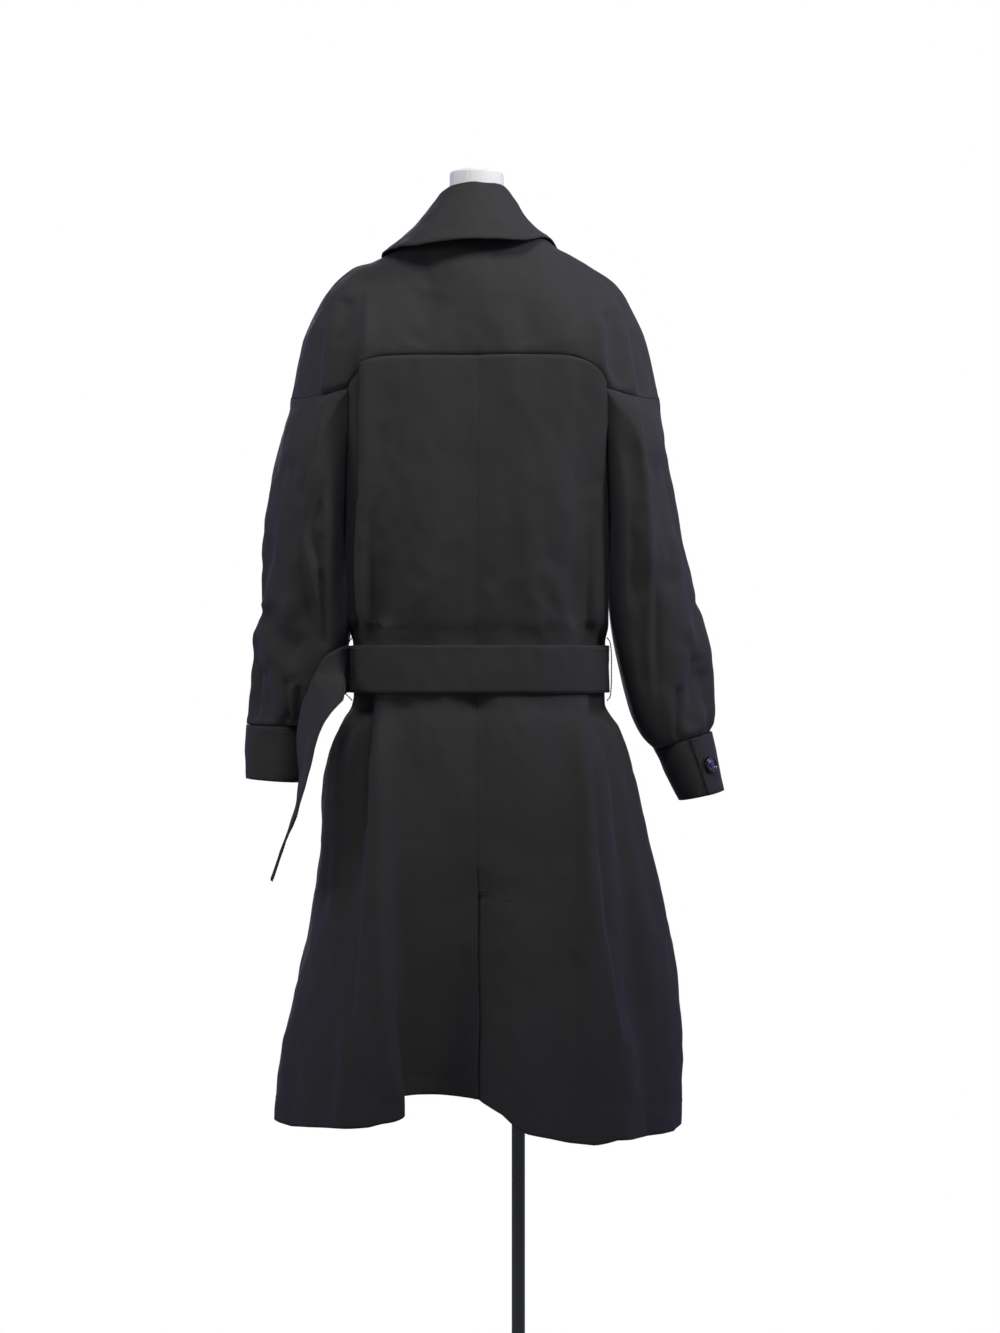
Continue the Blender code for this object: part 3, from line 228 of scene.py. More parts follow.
def foldDepth(front, distance, height):
    push = np.zeros_like(distance)
    folds = body["folds"]
    for i in range(len(folds["top"])):
        fold = {name: column[i] for name, column in folds.items()}
        down = np.clip((fold["top"] - height) / (fold["top"] - fold["foot"]), 0, 1)
        middle = fold["fromTop"] + (fold["fromFoot"] - fold["fromTop"]) * down
        width = fold["widthTop"] + (fold["widthFoot"] - fold["widthTop"]) * down
        depth = fold["depthTop"] + (fold["depthFoot"] - fold["depthTop"]) * down
        inside = (height < fold["top"]) & (height > fold["foot"]) & (front == bool(fold["front"]))
        begins = ease((fold["top"] - height) / body["foldBegins"])
        # folds that reach the hem don't end above it
        belowHem = fold["foot"] < body["sections"]["height"][0]
        ends = 1.0 if belowHem else ease((height - fold["foot"]) / body["foldEnds"])
        push = push + inside * begins * ends * depth * np.exp(-(((distance - middle) / width) ** 2))
    return push


def bodyPoint(around, height):
    # around is 0 at centre back, 1 at the left side, 2 at centre front
    around, height = np.broadcast_arrays(np.asarray(around, float), np.asarray(height, float))
    around = (around + 2) % 4 - 2
    side = np.where(around < 0, -1.0, 1.0)
    front = np.abs(around) > 1
    share = np.where(front, 2 - np.abs(around), np.abs(around))
    at = {name: through(body["sections"], "height", name, height) for name in body["sections"]}
    width = np.where(side > 0, at["left"], at["right"])
    depth = np.where(front, at["front"], at["back"])
    square = np.where(front, at["frontSquare"], at["backSquare"])
    x, y, total = quarterSection(width, depth, square, share)
    outX = (x / width) ** (square - 1) / width
    outY = (y / depth) ** (square - 1) / depth
    out = np.hypot(outX, outY)
    push = foldDepth(front, side * share * total, height)
    x = side * (x + push * outX / out)
    y = np.where(front, -1, 1) * (y + push * outY / out)
    return np.stack([x, y, height + 0 * x], -1)


def armholeShare(side, front, height):
    if height <= body["underarm"] + 1e-6:
        return 1.0
    reach = through(body["armhole"], "height", "front" if front else "back", height)
    shares = np.linspace(0, 1, fineness["armhole"])
    corner = bodyPoint(side * (2 - shares) if front else side * shares, height)
    return np.interp(-reach, -np.abs(corner[:, 1]), shares)


def edgeHeights():
    spans = (0.0, body["flatBelowBelt"], body["flatAboveBelt"], body["underarm"], body["yokeEnd"])
    heights = [0.0]
    for low, high, steps in zip(spans, spans[1:], body["rowSteps"]):
        heights += list(low + (high - low) * np.arange(1, steps + 1) / steps)
    return np.array(heights)


def panelRow(side, front, shares, k, middleTop, heights):
    steps = body["rowSteps"]
    if k <= sum(steps[:3]):
        around = side * (2 - shares) if front else side * shares
        hem = np.interp(around, body["hem"]["quarter"], body["hem"]["height"])
        z = hem + (body["flatBelowBelt"] - hem) * k / steps[0] if k <= steps[0] else heights[k]
        reach = 1.0
    else:
        rise = (heights[k] - body["underarm"]) / (body["yokeEnd"] - body["underarm"])
        middle = body["underarm"] + (middleTop - body["underarm"]) * rise
        z = heights[k] + (middle - heights[k]) * (1 - np.clip(shares, 0, 1) ** body["seamDrop"])
        reach = armholeShare(side, front, heights[k])
    return bodyPoint(side * (2 - shares * reach) if front else side * shares * reach, z)


# creases, wrinkles and seams are the same for every piece, so that they run on across seams
creaseShape = {"ends": 0.16, "facing": 0.4, "stepWidth": 0.0035}  # shares of its run and of facing, metres
# waves in metres: times per metre round and up, where they start, how far they follow the sway
waves = {
    "sway": (6, 4, (3, 0, 0), 0.0),
    "drape": (9, 3, (0, 0, 5), 0.6),
    "wear": (24, 11, (0, 0, 0), 1.0),
    "rumple": (62, 44, (0, 7, 0), 0.0),
    "gather": (46, 5, (0, 0, 0), 1.5),
}
gather = {"below": 0.872, "above": 0.944, "reach": 0.075, "halfWidth": 0.17}
seam = {
    "depth": 0.0008,
    "reach": 0.0030,
    "ridge": 0.35,
    "ridgeAt": 0.008,
    "ridgeWidth": 0.004,
    "softDepth": 0.0003,
    "armhole": (0.0002, 0.002),  # depth and reach
    "centre": (0.00015, 0.002),
    # the yoke's seam loses this share near the armhole, from a share of its run on
    "endShare": 0.9,
    "endFrom": 0.74,
    "endOver": 0.08,
}


def creaseShare(spots, path):
    # how far along a crease each spot is, from 0 to 1, and its distance across, + on the right of the run
    path = np.asarray(path, float)
    run = runAlong(path)
    best = np.full(len(spots), 1e9)
    share = np.zeros(len(spots))
    across = np.zeros(len(spots))
    for i in range(len(path) - 1):
        way = path[i + 1] - path[i]
        length = np.linalg.norm(way)
        t = (spots - path[i]) @ way / length**2
        inside = np.clip(t, 0, 1)
        gap = spots - path[i] - inside[:, None] * way
        far = np.linalg.norm(gap, axis=1)
        nearer = far < best
        best = np.where(nearer, far, best)
        share = np.where(nearer, (run[i] + inside * length) / run[-1], share)
        sign = np.sign(gap[:, 0] * way[1] - gap[:, 1] * way[0])
        across = np.where(nearer, sign * far, across)
    return share, across


def creaseDepth(points, normals, creases):
    # each crease: the face it is on, width before and after its line, depth at its start and end (out is +),
    # its line in X or Y and Z; a face with an s is a step, out before its line and in after it
    spots = {"b": points[:, [0, 2]], "f": points[:, [0, 2]], "l": points[:, [1, 2]], "r": points[:, [1, 2]]}
    facing = {"b": normals[:, 1], "f": -normals[:, 1], "l": normals[:, 0], "r": -normals[:, 0]}
    push = np.zeros(len(points))
    for face, before, after, startDepth, endDepth, path in creases:
        share, across = creaseShare(spots[face[0]], path)
        width = np.where(across < 0, before, after)
        ends = ease(share / creaseShape["ends"]) * ease((1 - share) / creaseShape["ends"])
        ends = ends * ease(facing[face[0]] / creaseShape["facing"])
        depth = (startDepth + (endDepth - startDepth) * share) * ends
        if face.endswith("s"):
            depth = -depth * across / np.hypot(across, creaseShape["stepWidth"])
        push += depth * np.exp(-((across / width) ** 2))
    return push


def wave(kind, x, y, z, sway=0.0):
    around, up, start, follow = waves[kind]
    spot = (x * around + start[0] + follow * sway, y * around + start[1], z * up + start[2])
    return noise.noise(Vector(spot))


def wrinkleDepth(points, broad=1.0, small=1.0):
    # broad waves run mostly up and down, small ones any way, and the belt draws in short ones
    push = np.zeros(len(points))
    for i, (x, y, z) in enumerate(points):
        sway = wave("sway", x, y, z)
        wear = wave("wear", x, y, z, sway)
        push[i] = broad * cloth["drapeHeight"] * wave("drape", x, y, z, sway)
        push[i] += broad * cloth["wrinkleHeight"] * wear
        push[i] += small * cloth["rumpleHeight"] * wave("rumple", x, y, z) * (1 + 2 * abs(wear))
        near = 1 - min(abs(z - gather["below"]), abs(z - gather["above"])) / gather["reach"]
        if near > 0 and abs(x) < gather["halfWidth"]:
            push[i] += broad * near * cloth["gatherHeight"] * wave("gather", x, y, z, sway)
    return push


def gridNormals(grid, ring=False):
    if ring:
        wide = np.concatenate([grid[:, -1:], grid, grid[:, :1]], 1)
        across = (wide[:, 2:] - wide[:, :-2]) / 2
    else:
        across = np.gradient(grid, axis=1)
    normal = np.cross(across, np.gradient(grid, axis=0))
    return normal / np.maximum(np.linalg.norm(normal, axis=-1, keepdims=True), 1e-12)


def edgeDistance(grid, edge):
    # metres from one edge of a grid: first and last column, low and high row
    axis = 1 if edge in ("first", "last") else 0
    steps = np.linalg.norm(np.diff(grid, axis=axis), axis=-1)
    zero = np.zeros_like(np.take(grid[..., 0], [0], axis))
    run = np.concatenate([zero, np.cumsum(steps, axis)], axis)
    return run if edge in ("first", "low") else np.take(run, [-1], axis) - run


def seamDepth(grid, edges, depth=seam["depth"], reach=seam["reach"]):
    # a pressed seam lies a little lower at its line, and a little higher beside it where the layers are
    push = np.zeros(grid.shape[:2])
    for edge in edges:
        away = edgeDistance(grid, edge)
        ridge = np.exp(-(((away - seam["ridgeAt"]) / seam["ridgeWidth"]) ** 2))
        push += -depth * np.exp(-((away / reach) ** 2)) + seam["ridge"] * depth * ridge
    return push


def inset(grid, edges, amount):
    grid = grid.copy()
    for edge in edges:
        line, inner = {"first": (np.s_[:, 0], np.s_[:, 1]), "last": (np.s_[:, -1], np.s_[:, -2]),
                       "low": (np.s_[0], np.s_[1]), "high": (np.s_[-1], np.s_[-2])}[edge]  # fmt: skip
        step = grid[inner] - grid[line]
        grid[line] += step * amount / np.linalg.norm(step, axis=-1, keepdims=True)
    return grid


def edgeLine(grid, normals, edge, distance, thickness=cloth["thickness"]):
    # the line of a stitch run, at a distance from an edge and just above the cloth
    if edge in ("last", "high"):
        flip = np.s_[:, ::-1] if edge == "last" else np.s_[::-1]
        grid, normals = grid[flip], normals[flip]
    if edge in ("first", "last"):
        grid, normals = np.swapaxes(grid, 0, 1), np.swapaxes(normals, 0, 1)
    run = edgeDistance(grid, "low")
    raised = grid + normals * (thickness / 2 + stitch["lift"])
    columns = range(grid.shape[1])
    return np.array([[np.interp(distance, run[:, c], raised[:, c, k]) for k in range(3)] for c in columns])


finish = {
    "twillDark": (0.0125, 0.0125, 0.0135),
    "twillLight": (0.0340, 0.0340, 0.0340),
    "twillRoughness": 0.85,
    "roughnessRange": (0.77, 0.97),  # where the slubs lie low, and high
    "twillSheen": 0.05,
    "twillSheenTint": (0.66, 0.60, 1.0),
    "twillPitch": 0.0011,
    "twillScale": 0.31,  # of the steep lines, times the pitch
    "yarnScale": 0.42,
    "twillRelief": (0.35, 0.00025),  # strength, metres
    "twillSheenSpread": 0.45,
    "twillSpecular": 0.22,
    "twillTurn": 27,  # degrees
    "yarnShare": 0.35,
    "twillLevel": 0.5,
    # how much of the tone the weave, the slubs, the mottling and the faded areas give
    "toneShares": (0.16, 0.42, 0.55, 0.60),
    "toneScales": (420.0, 75.0, 14.0),
    "toneDarkAt": 0.74,
    "gloss": (0.006, 0.006, 0.007),
    "thread": (0.020, 0.020, 0.022),
    "cover": (0.86, 0.86, 0.86),
    "enamel": (0.075, 0.082, 0.088),
}


def newMaterial(name, colour, roughness):
    material = bpy.data.materials.new(name)
    material.use_nodes = True
    shader = material.node_tree.nodes["Principled BSDF"]
    shader.inputs["Base Color"].default_value = (*colour, 1)
    shader.inputs["Roughness"].default_value = roughness
    return material, material.node_tree, shader


def fill(tree, node, inputs):
    # each input is a value or another node's output
    for name, value in inputs.items():
        if isinstance(value, bpy.types.NodeSocket):
            tree.links.new(value, node.inputs[name])
        else:
            node.inputs[name].default_value = value
    return node


def addNode(tree, kind, inputs=None, **settings):
    node = tree.nodes.new(kind)
    for name, value in settings.items():
        setattr(node, name, value)
    return fill(tree, node, inputs or {})


def noiseFrom(tree, place, scale, detail, roughness=0.5):
    inputs = {"Vector": place, "Scale": scale, "Detail": detail, "Roughness": roughness}
    return addNode(tree, "ShaderNodeTexNoise", inputs).outputs["Fac"]


def reliefFrom(tree, height, strength, distance):
    inputs = {"Height": height, "Strength": strength, "Distance": distance}
    return addNode(tree, "ShaderNodeBump", inputs).outputs["Normal"]


def rangeFrom(tree, value, low, high):
    return addNode(tree, "ShaderNodeMapRange", {"Value": value, "To Min": low, "To Max": high}).outputs[0]


def makeTwill():
    material, tree, shader = newMaterial("charcoalTwill", finish["twillDark"], finish["twillRoughness"])
    place = addNode(tree, "ShaderNodeUVMap", uv_map="clothUV").outputs["UV"]
    turn = {"Vector": place, "Rotation": (0, 0, math.radians(finish["twillTurn"]))}
    turned = addNode(tree, "ShaderNodeMapping", turn).outputs["Vector"]
    # the steep lines of the twill, broken up by the yarns across them
    steep = {"Vector": turned, "Scale": finish["twillScale"] / finish["twillPitch"], "Distortion": 1.2,
             "Detail": 1.0, "Detail Scale": 3.0}  # fmt: skip
    lines = addNode(tree, "ShaderNodeTexWave", steep, bands_direction="X").outputs["Fac"]
    level = {"Vector": place, "Scale": finish["yarnScale"] / finish["twillPitch"], "Distortion": 2.0}
    yarns = addNode(tree, "ShaderNodeTexWave", level, bands_direction="Y").outputs["Fac"]
    woven = {0: yarns, 1: finish["yarnShare"], 2: lines}
    parts = [addNode(tree, "ShaderNodeMath", woven, operation="MULTIPLY_ADD").outputs[0]]
    parts += [noiseFrom(tree, place, scale, 3.0, 0.6) for scale in finish["toneScales"]]
    total = finish["twillLevel"]
    for part, share in zip(parts, finish["toneShares"]):
        terms = {0: part, 1: share, 2: total}
        total = addNode(tree, "ShaderNodeMath", terms, operation="MULTIPLY_ADD").outputs[0]
    ramp = addNode(tree, "ShaderNodeValToRGB", {"Fac": total})
    ends = ((finish["toneDarkAt"], "twillDark"), (1.0, "twillLight"))
    for element, (spot, tone) in zip(ramp.color_ramp.elements, ends):
        element.position = spot
        element.color = (*finish[tone], 1)
    fill(tree, shader, {
        "Base Color": ramp.outputs["Color"],
        "Roughness": rangeFrom(tree, parts[1], *finish["roughnessRange"]),
        "Normal": reliefFrom(tree, total, *finish["twillRelief"]),
        "Sheen Weight": finish["twillSheen"],
        "Sheen Roughness": finish["twillSheenSpread"],
        "Sheen Tint": (*finish["twillSheenTint"], 1),
        "Specular IOR Level": finish["twillSpecular"],
    })  # fmt: skip
    return material


def makeThread():
    material, tree, shader = newMaterial("blackThread", finish["thread"], 0.6)
    twist = noiseFrom(tree, addNode(tree, "ShaderNodeTexCoord").outputs["Object"], 900.0, 1.0)
    fill(tree, shader, {"Normal": reliefFrom(tree, twist, 0.4, 0.0001), "Sheen Weight": 0.2})
    return material


def makeSurface(name, colour, roughness, grain, depth, spread, metallic=0.0, coat=0.0):
    # a hard or stretched surface with a fine grain and slightly uneven gloss
    material, tree, shader = newMaterial(name, colour, roughness)
    speck = noiseFrom(tree, addNode(tree, "ShaderNodeTexCoord").outputs["Object"], grain, 4.0, 0.6)
    fill(tree, shader, {
        "Roughness": rangeFrom(tree, speck, max(0.02, roughness - spread), roughness + spread),
        "Normal": reliefFrom(tree, speck, 0.3, depth),
        "Metallic": metallic,
        "Coat Weight": coat,
        "Coat Roughness": 0.06,
    })  # fmt: skip
    return material


materials = {
    "charcoal_twill": makeTwill(),
    "black_thread": makeThread(),
    "black_gloss": makeSurface("polishedBlack", finish["gloss"], 0.16, 60.0, 0.00002, 0.05, coat=0.6),
    "white_cover": makeSurface("whiteCover", finish["cover"], 0.62, 900.0, 0.00012, 0.08),
    "grey_enamel": makeSurface("greyEnamel", finish["enamel"], 0.34, 240.0, 0.00003, 0.06, metallic=0.5),
}
print("materials made")


def finishPiece(piece, slot, nodes=()):
    piece.data.materials.clear()
    piece.data.materials.append(materials[slot])
    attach(piece, "root")
    if nodes:
        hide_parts(*nodes)
    return piece


def linkPiece(name, mesh):
    piece = bpy.data.objects.new(name, mesh)
    bpy.context.scene.collection.objects.link(piece)
    return piece


def clothPiece(name, grid, nodes, thickness=None, ring=False):
    # a wall of cloth on a grid of points, with its weave laid along the grid
    rows, columns = grid.shape[:2]
    grid = grid + np.array([cloth["coatFromPole"], 0, 0])
    wrap = columns if ring else columns - 1
    r, c = np.meshgrid(np.arange(rows - 1), np.arange(wrap), indexing="ij")
    d = (c + 1) % columns
    faces = np.stack([r * columns + c, r * columns + d, (r + 1) * columns + d, (r + 1) * columns + c], -1)
    mesh = bpy.data.meshes.new(name)
    mesh.from_pydata(grid.reshape(-1, 3).tolist(), [], faces.reshape(-1, 4).tolist())
    closed = np.concatenate([grid, grid[:, :1]], 1) if ring else grid
    across = edgeDistance(closed, "first")
    across = across - across[:, [closed.shape[1] // 2]]
    up = edgeDistance(closed, "low")
    corners = [(r, c), (r, c + 1), (r + 1, c + 1), (r + 1, c)]
    spots = np.stack([np.stack([across[a, b], up[a, b]], -1) for a, b in corners], 2)
    mesh.uv_layers.new(name="clothUV").data.foreach_set("uv", spots.astype(np.float32).ravel())
    mesh.shade_smooth()
    piece = linkPiece(name, mesh)
    wall = piece.modifiers.new("wall", "SOLIDIFY")
    wall.thickness = thickness or cloth["thickness"]
    wall.offset = 0
    return finishPiece(piece, "charcoal_twill", nodes)


stitch = {
    "length": 0.0026,
    "every": 0.0036,
    "width": 0.00050,
    "fromEdge": 0.006,
    "hem": 0.025,
    "beltEdge": 0.004,
    "buttonhole": 0.026,
    "holeRows": 0.0011,
    "sides": 5,
    "lift": 0.00012,
}


def buildStitchTree():
    tree = bpy.data.node_groups.new("stitchRun", "GeometryNodeTree")
    sockets = {"Lines": "Geometry", "Every": "Float", "Length": "Float", "Width": "Float"}
    for name, kind in [*sockets.items(), ("Thread", "Material")]:
        tree.interface.new_socket(name, in_out="INPUT", socket_type="NodeSocket" + kind)
    tree.interface.new_socket("Stitches", in_out="OUTPUT", socket_type="NodeSocketGeometry")
    given = tree.nodes.new("NodeGroupInput").outputs
    curve = addNode(tree, "GeometryNodeMeshToCurve", {"Mesh": given["Lines"]})
    spacing = {"Curve": curve.outputs["Curve"], "Length": given["Every"]}
    spaced = addNode(tree, "GeometryNodeResampleCurve", spacing, mode="LENGTH")
    along = {"Vector": addNode(tree, "GeometryNodeInputTangent").outputs["Tangent"]}
    turned = addNode(tree, "FunctionNodeAlignRotationToVector", along, axis="Z")
    half = addNode(tree, "ShaderNodeMath", {0: given["Width"], 1: 2.0}, operation="DIVIDE")
    size = {"Vertices": stitch["sides"], "Radius": half.outputs[0], "Depth": given["Length"]}
    bar = addNode(tree, "GeometryNodeMeshCylinder", size)
    each = {"Points": spaced.outputs["Curve"], "Instance": bar.outputs["Mesh"]}
    placed = addNode(tree, "GeometryNodeInstanceOnPoints", {**each, "Rotation": turned.outputs["Rotation"]})
    real = addNode(tree, "GeometryNodeRealizeInstances", {"Geometry": placed.outputs["Instances"]})
    paint = {"Geometry": real.outputs["Geometry"], "Material": given["Thread"]}
    painted = addNode(tree, "GeometryNodeSetMaterial", paint)
    fill(tree, tree.nodes.new("NodeGroupOutput"), {"Stitches": painted.outputs["Geometry"]})
    return tree


stitchTree = buildStitchTree()


def sewLines(name, lines, shift=True):
    # stitches along each line, as one plain mesh
    points, edges = [], []
    for line in lines:
        first = len(points)
        moved = np.asarray(line) + (np.array([cloth["coatFromPole"], 0, 0]) if shift else 0)
        points += moved.tolist()
        edges += [(first + i, first + i + 1) for i in range(len(line) - 1)]
    mesh = bpy.data.meshes.new(name)
    mesh.from_pydata(points, edges, [])
    guide = linkPiece(name + "Guide", mesh)
    maker = guide.modifiers.new("stitches", "NODES")
    maker.node_group = stitchTree
    values = {"Every": stitch["every"], "Length": stitch["length"], "Width": stitch["width"],
              "Thread": materials["black_thread"]}  # fmt: skip
    for item in stitchTree.interface.items_tree:
        if item.in_out == "INPUT" and item.name in values:
            maker[item.identifier] = values[item.name]
    shown = bpy.context.evaluated_depsgraph_get()
    made = bpy.data.meshes.new_from_object(guide.evaluated_get(shown))
    bpy.data.objects.remove(guide, do_unlink=True)
    return finishPiece(linkPiece(name, made), "black_thread")


# creases of the body, by face: width before and after, depth at start and end, line
bodyCreases = [
    # the back's two standing folds beside the armholes, and the hollows along them
    ("b", 0.0038, 0.009, 0.005, 0.0055, [(0.129, 1.37), (0.13, 1.299), (0.1322, 1.24), (0.1339, 1.157),
     (0.1385, 1.038), (0.14, 0.925)]),
    ("b", 0.006, 0.0045, -0.009, -0.011, [(0.139, 1.29), (0.1405, 1.215), (0.142, 1.14), (0.147, 1.038),
     (0.149, 0.925)]),
    ("b", 0.01, 0.026, -0.001, -0.0045, [(0.111, 1.262), (0.1126, 1.16), (0.1149, 1.033), (0.114, 0.9)]),
    ("b", 0.0065, 0.0085, -0.001, -0.013, [(0.124, 1.14), (0.125, 1.04), (0.1235, 0.96), (0.1215, 0.885)]),
    ("b", 0.009, 0.004, 0.0045, 0.005, [(-0.1438, 1.365), (-0.144, 1.264), (-0.1484, 1.183), (-0.1505, 1.079),
     (-0.15, 0.987), (-0.147, 0.925)]),
    ("b", 0.009, 0.026, -0.002, -0.006, [(-0.12, 1.262), (-0.119, 1.16), (-0.118, 1.079), (-0.12, 1.01),
     (-0.126, 0.9)]),
    ("b", 0.009, 0.006, -0.001, -0.01, [(-0.133, 1.08), (-0.133, 0.96), (-0.131, 0.885)]),
    ("b", 0.004, 0.006, -0.003, -0.003, [(0.145, 0.972), (0.129, 0.932)]),
    ("b", 0.011, 0.009, -0.001, -0.002, [(-0.003, 1.12), (-0.001, 1.03), (0.002, 0.925)]),
    ("b", 0.022, 0.026, 0.0025, 0.0025, [(0.056, 0.925), (0.05, 1.04), (0.035, 1.16)]),
    ("b", 0.028, 0.02, 0.0025, 0.0025, [(-0.07, 0.925), (-0.06, 1.04), (-0.05, 1.16)]),
    ("b", 0.018, 0.012, -0.0025, -0.001, [(-0.045, 0.925), (-0.03, 1.01), (-0.035, 1.08)]),
    ("b", 0.014, 0.02, -0.002, -0.001, [(0.085, 0.925), (0.08, 1.02), (0.085, 1.09)]),
    # below the belt
    ("b", 0.011, 0.007, -0.009, -0.008, [(0.1286, 0.945), (0.13, 0.885), (0.1356, 0.78), (0.139, 0.685),
     (0.143, 0.56), (0.146, 0.46)]),
    ("b", 0.008, 0.013, 0.0045, 0.0085, [(0.111, 0.9), (0.1125, 0.8), (0.114, 0.7), (0.113, 0.586),
     (0.106, 0.483), (0.0975, 0.3)]),
    ("bs", 0.02, 0.048, 0.001, 0.023, [(0.098, 0.7), (0.095, 0.609), (0.0929, 0.529), (0.089, 0.3)]),
    ("b", 0.02, 0.016, -0.002, -0.005, [(0.006, 0.6), (0.01, 0.5), (0.015, 0.33)]),
    ("b", 0.016, 0.01, 0.002, 0.005, [(-0.113, 0.9), (-0.1221, 0.757), (-0.1289, 0.643), (-0.1358, 0.529),
     (-0.145, 0.3)]),
    ("bs", 0.016, 0.023, 0.0055, 0.0075, [(-0.1269, 0.945), (-0.128, 0.883), (-0.1318, 0.779),
     (-0.1373, 0.699), (-0.146, 0.614), (-0.155, 0.561), (-0.17, 0.46)]),
    ("b", 0.011, 0.018, -0.006, -0.003, [(-0.0011, 0.945), (0.001, 0.803), (0.0012, 0.69)]),
    ("b", 0.006, 0.004, -0.0024, -0.002, [(-0.105, 0.586), (-0.115, 0.57), (-0.124, 0.552)]),
    ("b", 0.03, 0.035, 0.002, 0.005, [(-0.06, 0.62), (-0.07, 0.5), (-0.08, 0.33)]),
    ("b", 0.02, 0.025, -0.002, -0.0055, [(-0.095, 0.6), (-0.105, 0.48), (-0.112, 0.33)]),
    # front
    ("f", 0.01, 0.012, -0.007, -0.002, [(0.08, 0.925), (0.076, 1.02), (0.085, 1.09)]),
    ("f", 0.012, 0.01, -0.007, -0.002, [(-0.09, 0.925), (-0.088, 1.01), (-0.08, 1.08)]),
    ("f", 0.01, 0.014, -0.008, -0.003, [(0.065, 0.89), (0.074, 0.78), (0.085, 0.64)]),
    ("f", 0.014, 0.01, -0.008, -0.003, [(-0.07, 0.89), (-0.08, 0.76), (-0.09, 0.62)]),
    ("f", 0.017, 0.014, -0.006, -0.007, [(0.145, 1.24), (0.128, 1.15), (0.122, 1.05)]),
    ("f", 0.014, 0.017, -0.006, -0.007, [(-0.143, 1.24), (-0.126, 1.15), (-0.12, 1.05)]),
    ("f", 0.018, 0.022, 0.004, 0.004, [(0.105, 0.92), (0.102, 1.05)]),
    ("f", 0.022, 0.018, 0.004, 0.004, [(-0.11, 0.92), (-0.106, 1.05)]),
    ("f", 0.024, 0.02, 0.005, 0.006, [(0.1, 0.89), (0.115, 0.7), (0.13, 0.38)]),
    ("f", 0.02, 0.024, 0.005, 0.006, [(-0.105, 0.89), (-0.12, 0.7), (-0.135, 0.38)]),
    ("l", 0.014, 0.012, -0.006, -0.004, [(0.045, 0.89), (0.06, 0.76), (0.08, 0.6)]),
    ("l", 0.014, 0.012, -0.006, -0.004, [(-0.045, 0.89), (-0.062, 0.76), (-0.08, 0.6)]),
    ("r", 0.014, 0.012, -0.006, -0.004, [(0.045, 0.89), (0.06, 0.76), (0.08, 0.6)]),
    ("r", 0.014, 0.012, -0.006, -0.004, [(-0.045, 0.89), (-0.062, 0.76), (-0.08, 0.6)]),
]  # fmt: skip


quiet = {
    "beltLow": 0.863,
    "beltHigh": 0.951,
    "beltEase": 0.012,
    "hollowShare": 0.8,  # how much of a hollow stays under the belt
    "besideFacing": 0.875,
    "besideLow": 0.935,
    "besideEase": 0.02,
    "besideShare": 0.92,
    "besideLift": 0.0005,
    "armhole": 0.008,
    "armholeRows": 12,
}


def bodyPush(grid, normals, still):
    # creases and wrinkles, less of them under the belt, none at the armholes
    points = grid.reshape(-1, 3)
    push = creaseDepth(points, normals.reshape(-1, 3), bodyCreases) + wrinkleDepth(points)
    z = points[:, 2]
    above, below = (z - quiet["beltLow"]) / quiet["beltEase"], (quiet["beltHigh"] - z) / quiet["beltEase"]
    beltFree = 1 - ease(above) * ease(below)
    push = push * np.where(push > 0, beltFree, np.maximum(beltFree, quiet["hollowShare"]))
    # where the sleeves hang against it, the side stays nearly flat
    facing = np.abs(normals.reshape(-1, 3)[:, 0]) - quiet["besideFacing"]
    beside = ease(facing / (1 - quiet["besideFacing"])) * ease((z - quiet["besideLow"]) / quiet["besideEase"])
    push = push * (1 - quiet["besideShare"] * beside) + quiet["besideLift"] * beside
    return push.reshape(grid.shape[:2]) * still


def columnShares():
    return np.linspace(0, 1, body["neckColumns"] + body["shoulderColumns"] + 1)


def backGrid(side):
    heights = edgeHeights()
    shares = columnShares()
    rows = [panelRow(side, False, shares, k, body["yokeMiddle"], heights) for k in range(len(heights))]
    return np.array(rows)


def shoulderLine(side, shares):
    rows = shoulders[side]
    points = np.stack([rows["reach"], 0 * rows["reach"], rows["height"]], -1)
    line = alongLine(smoothLine(points, fineness["shoulder"]), shares)
    line[:, 0] *= side
    return line


vent = {
    "top": 0.656,
    "lapTop": 0.640,
    "rise": 0.030,
    "depth": 0.0022,
    "groove": 0.0030,
    "grooveWidth": 0.0032,
    "slant": ((0.0015, 0.656), (0.047, 0.6375)),
    "slantPoints": 30,
    "seamEase": 0.02,
    # thirteen parts of the back: where each goes, + on the other side of the middle
    "parts": 13,
    "from": (0, 2, 3, 4, 5, 6, 13),
    "to": (2, 0, -1.4, -2.9, -4.4, -6, -13),
    "under": (0, 2.4, 4),
}


def layUnder(grid):
    # carries the right back on under the left one, below the vent's top
    shares = columnShares()
    column = shares * vent["parts"]
    lap = np.interp(column, vent["from"], vent["to"]) / vent["parts"]
    for k in range(body["rowSteps"][0]):
        opened = ease((vent["top"] - grid[k, 0, 2]) / (vent["top"] - vent["lapTop"]))
        tuck = ease((vent["top"] + vent["rise"] - grid[k, 0, 2]) / vent["rise"])
        around = lap * opened - shares * (1 - opened)
        hem = np.interp(around, body["hem"]["quarter"], body["hem"]["height"])
        grid[k] = bodyPoint(around, hem + (body["flatBelowBelt"] - hem) * k / body["rowSteps"][0])
        groove = vent["groove"] * np.exp(-((np.minimum(grid[k, :, 0], 0) / vent["grooveWidth"]) ** 2))
        under = vent["depth"] * np.interp(column, vent["under"], (1, 1, 0))
        grid[k, :, 1] -= tuck * (under + opened * groove)
    return grid


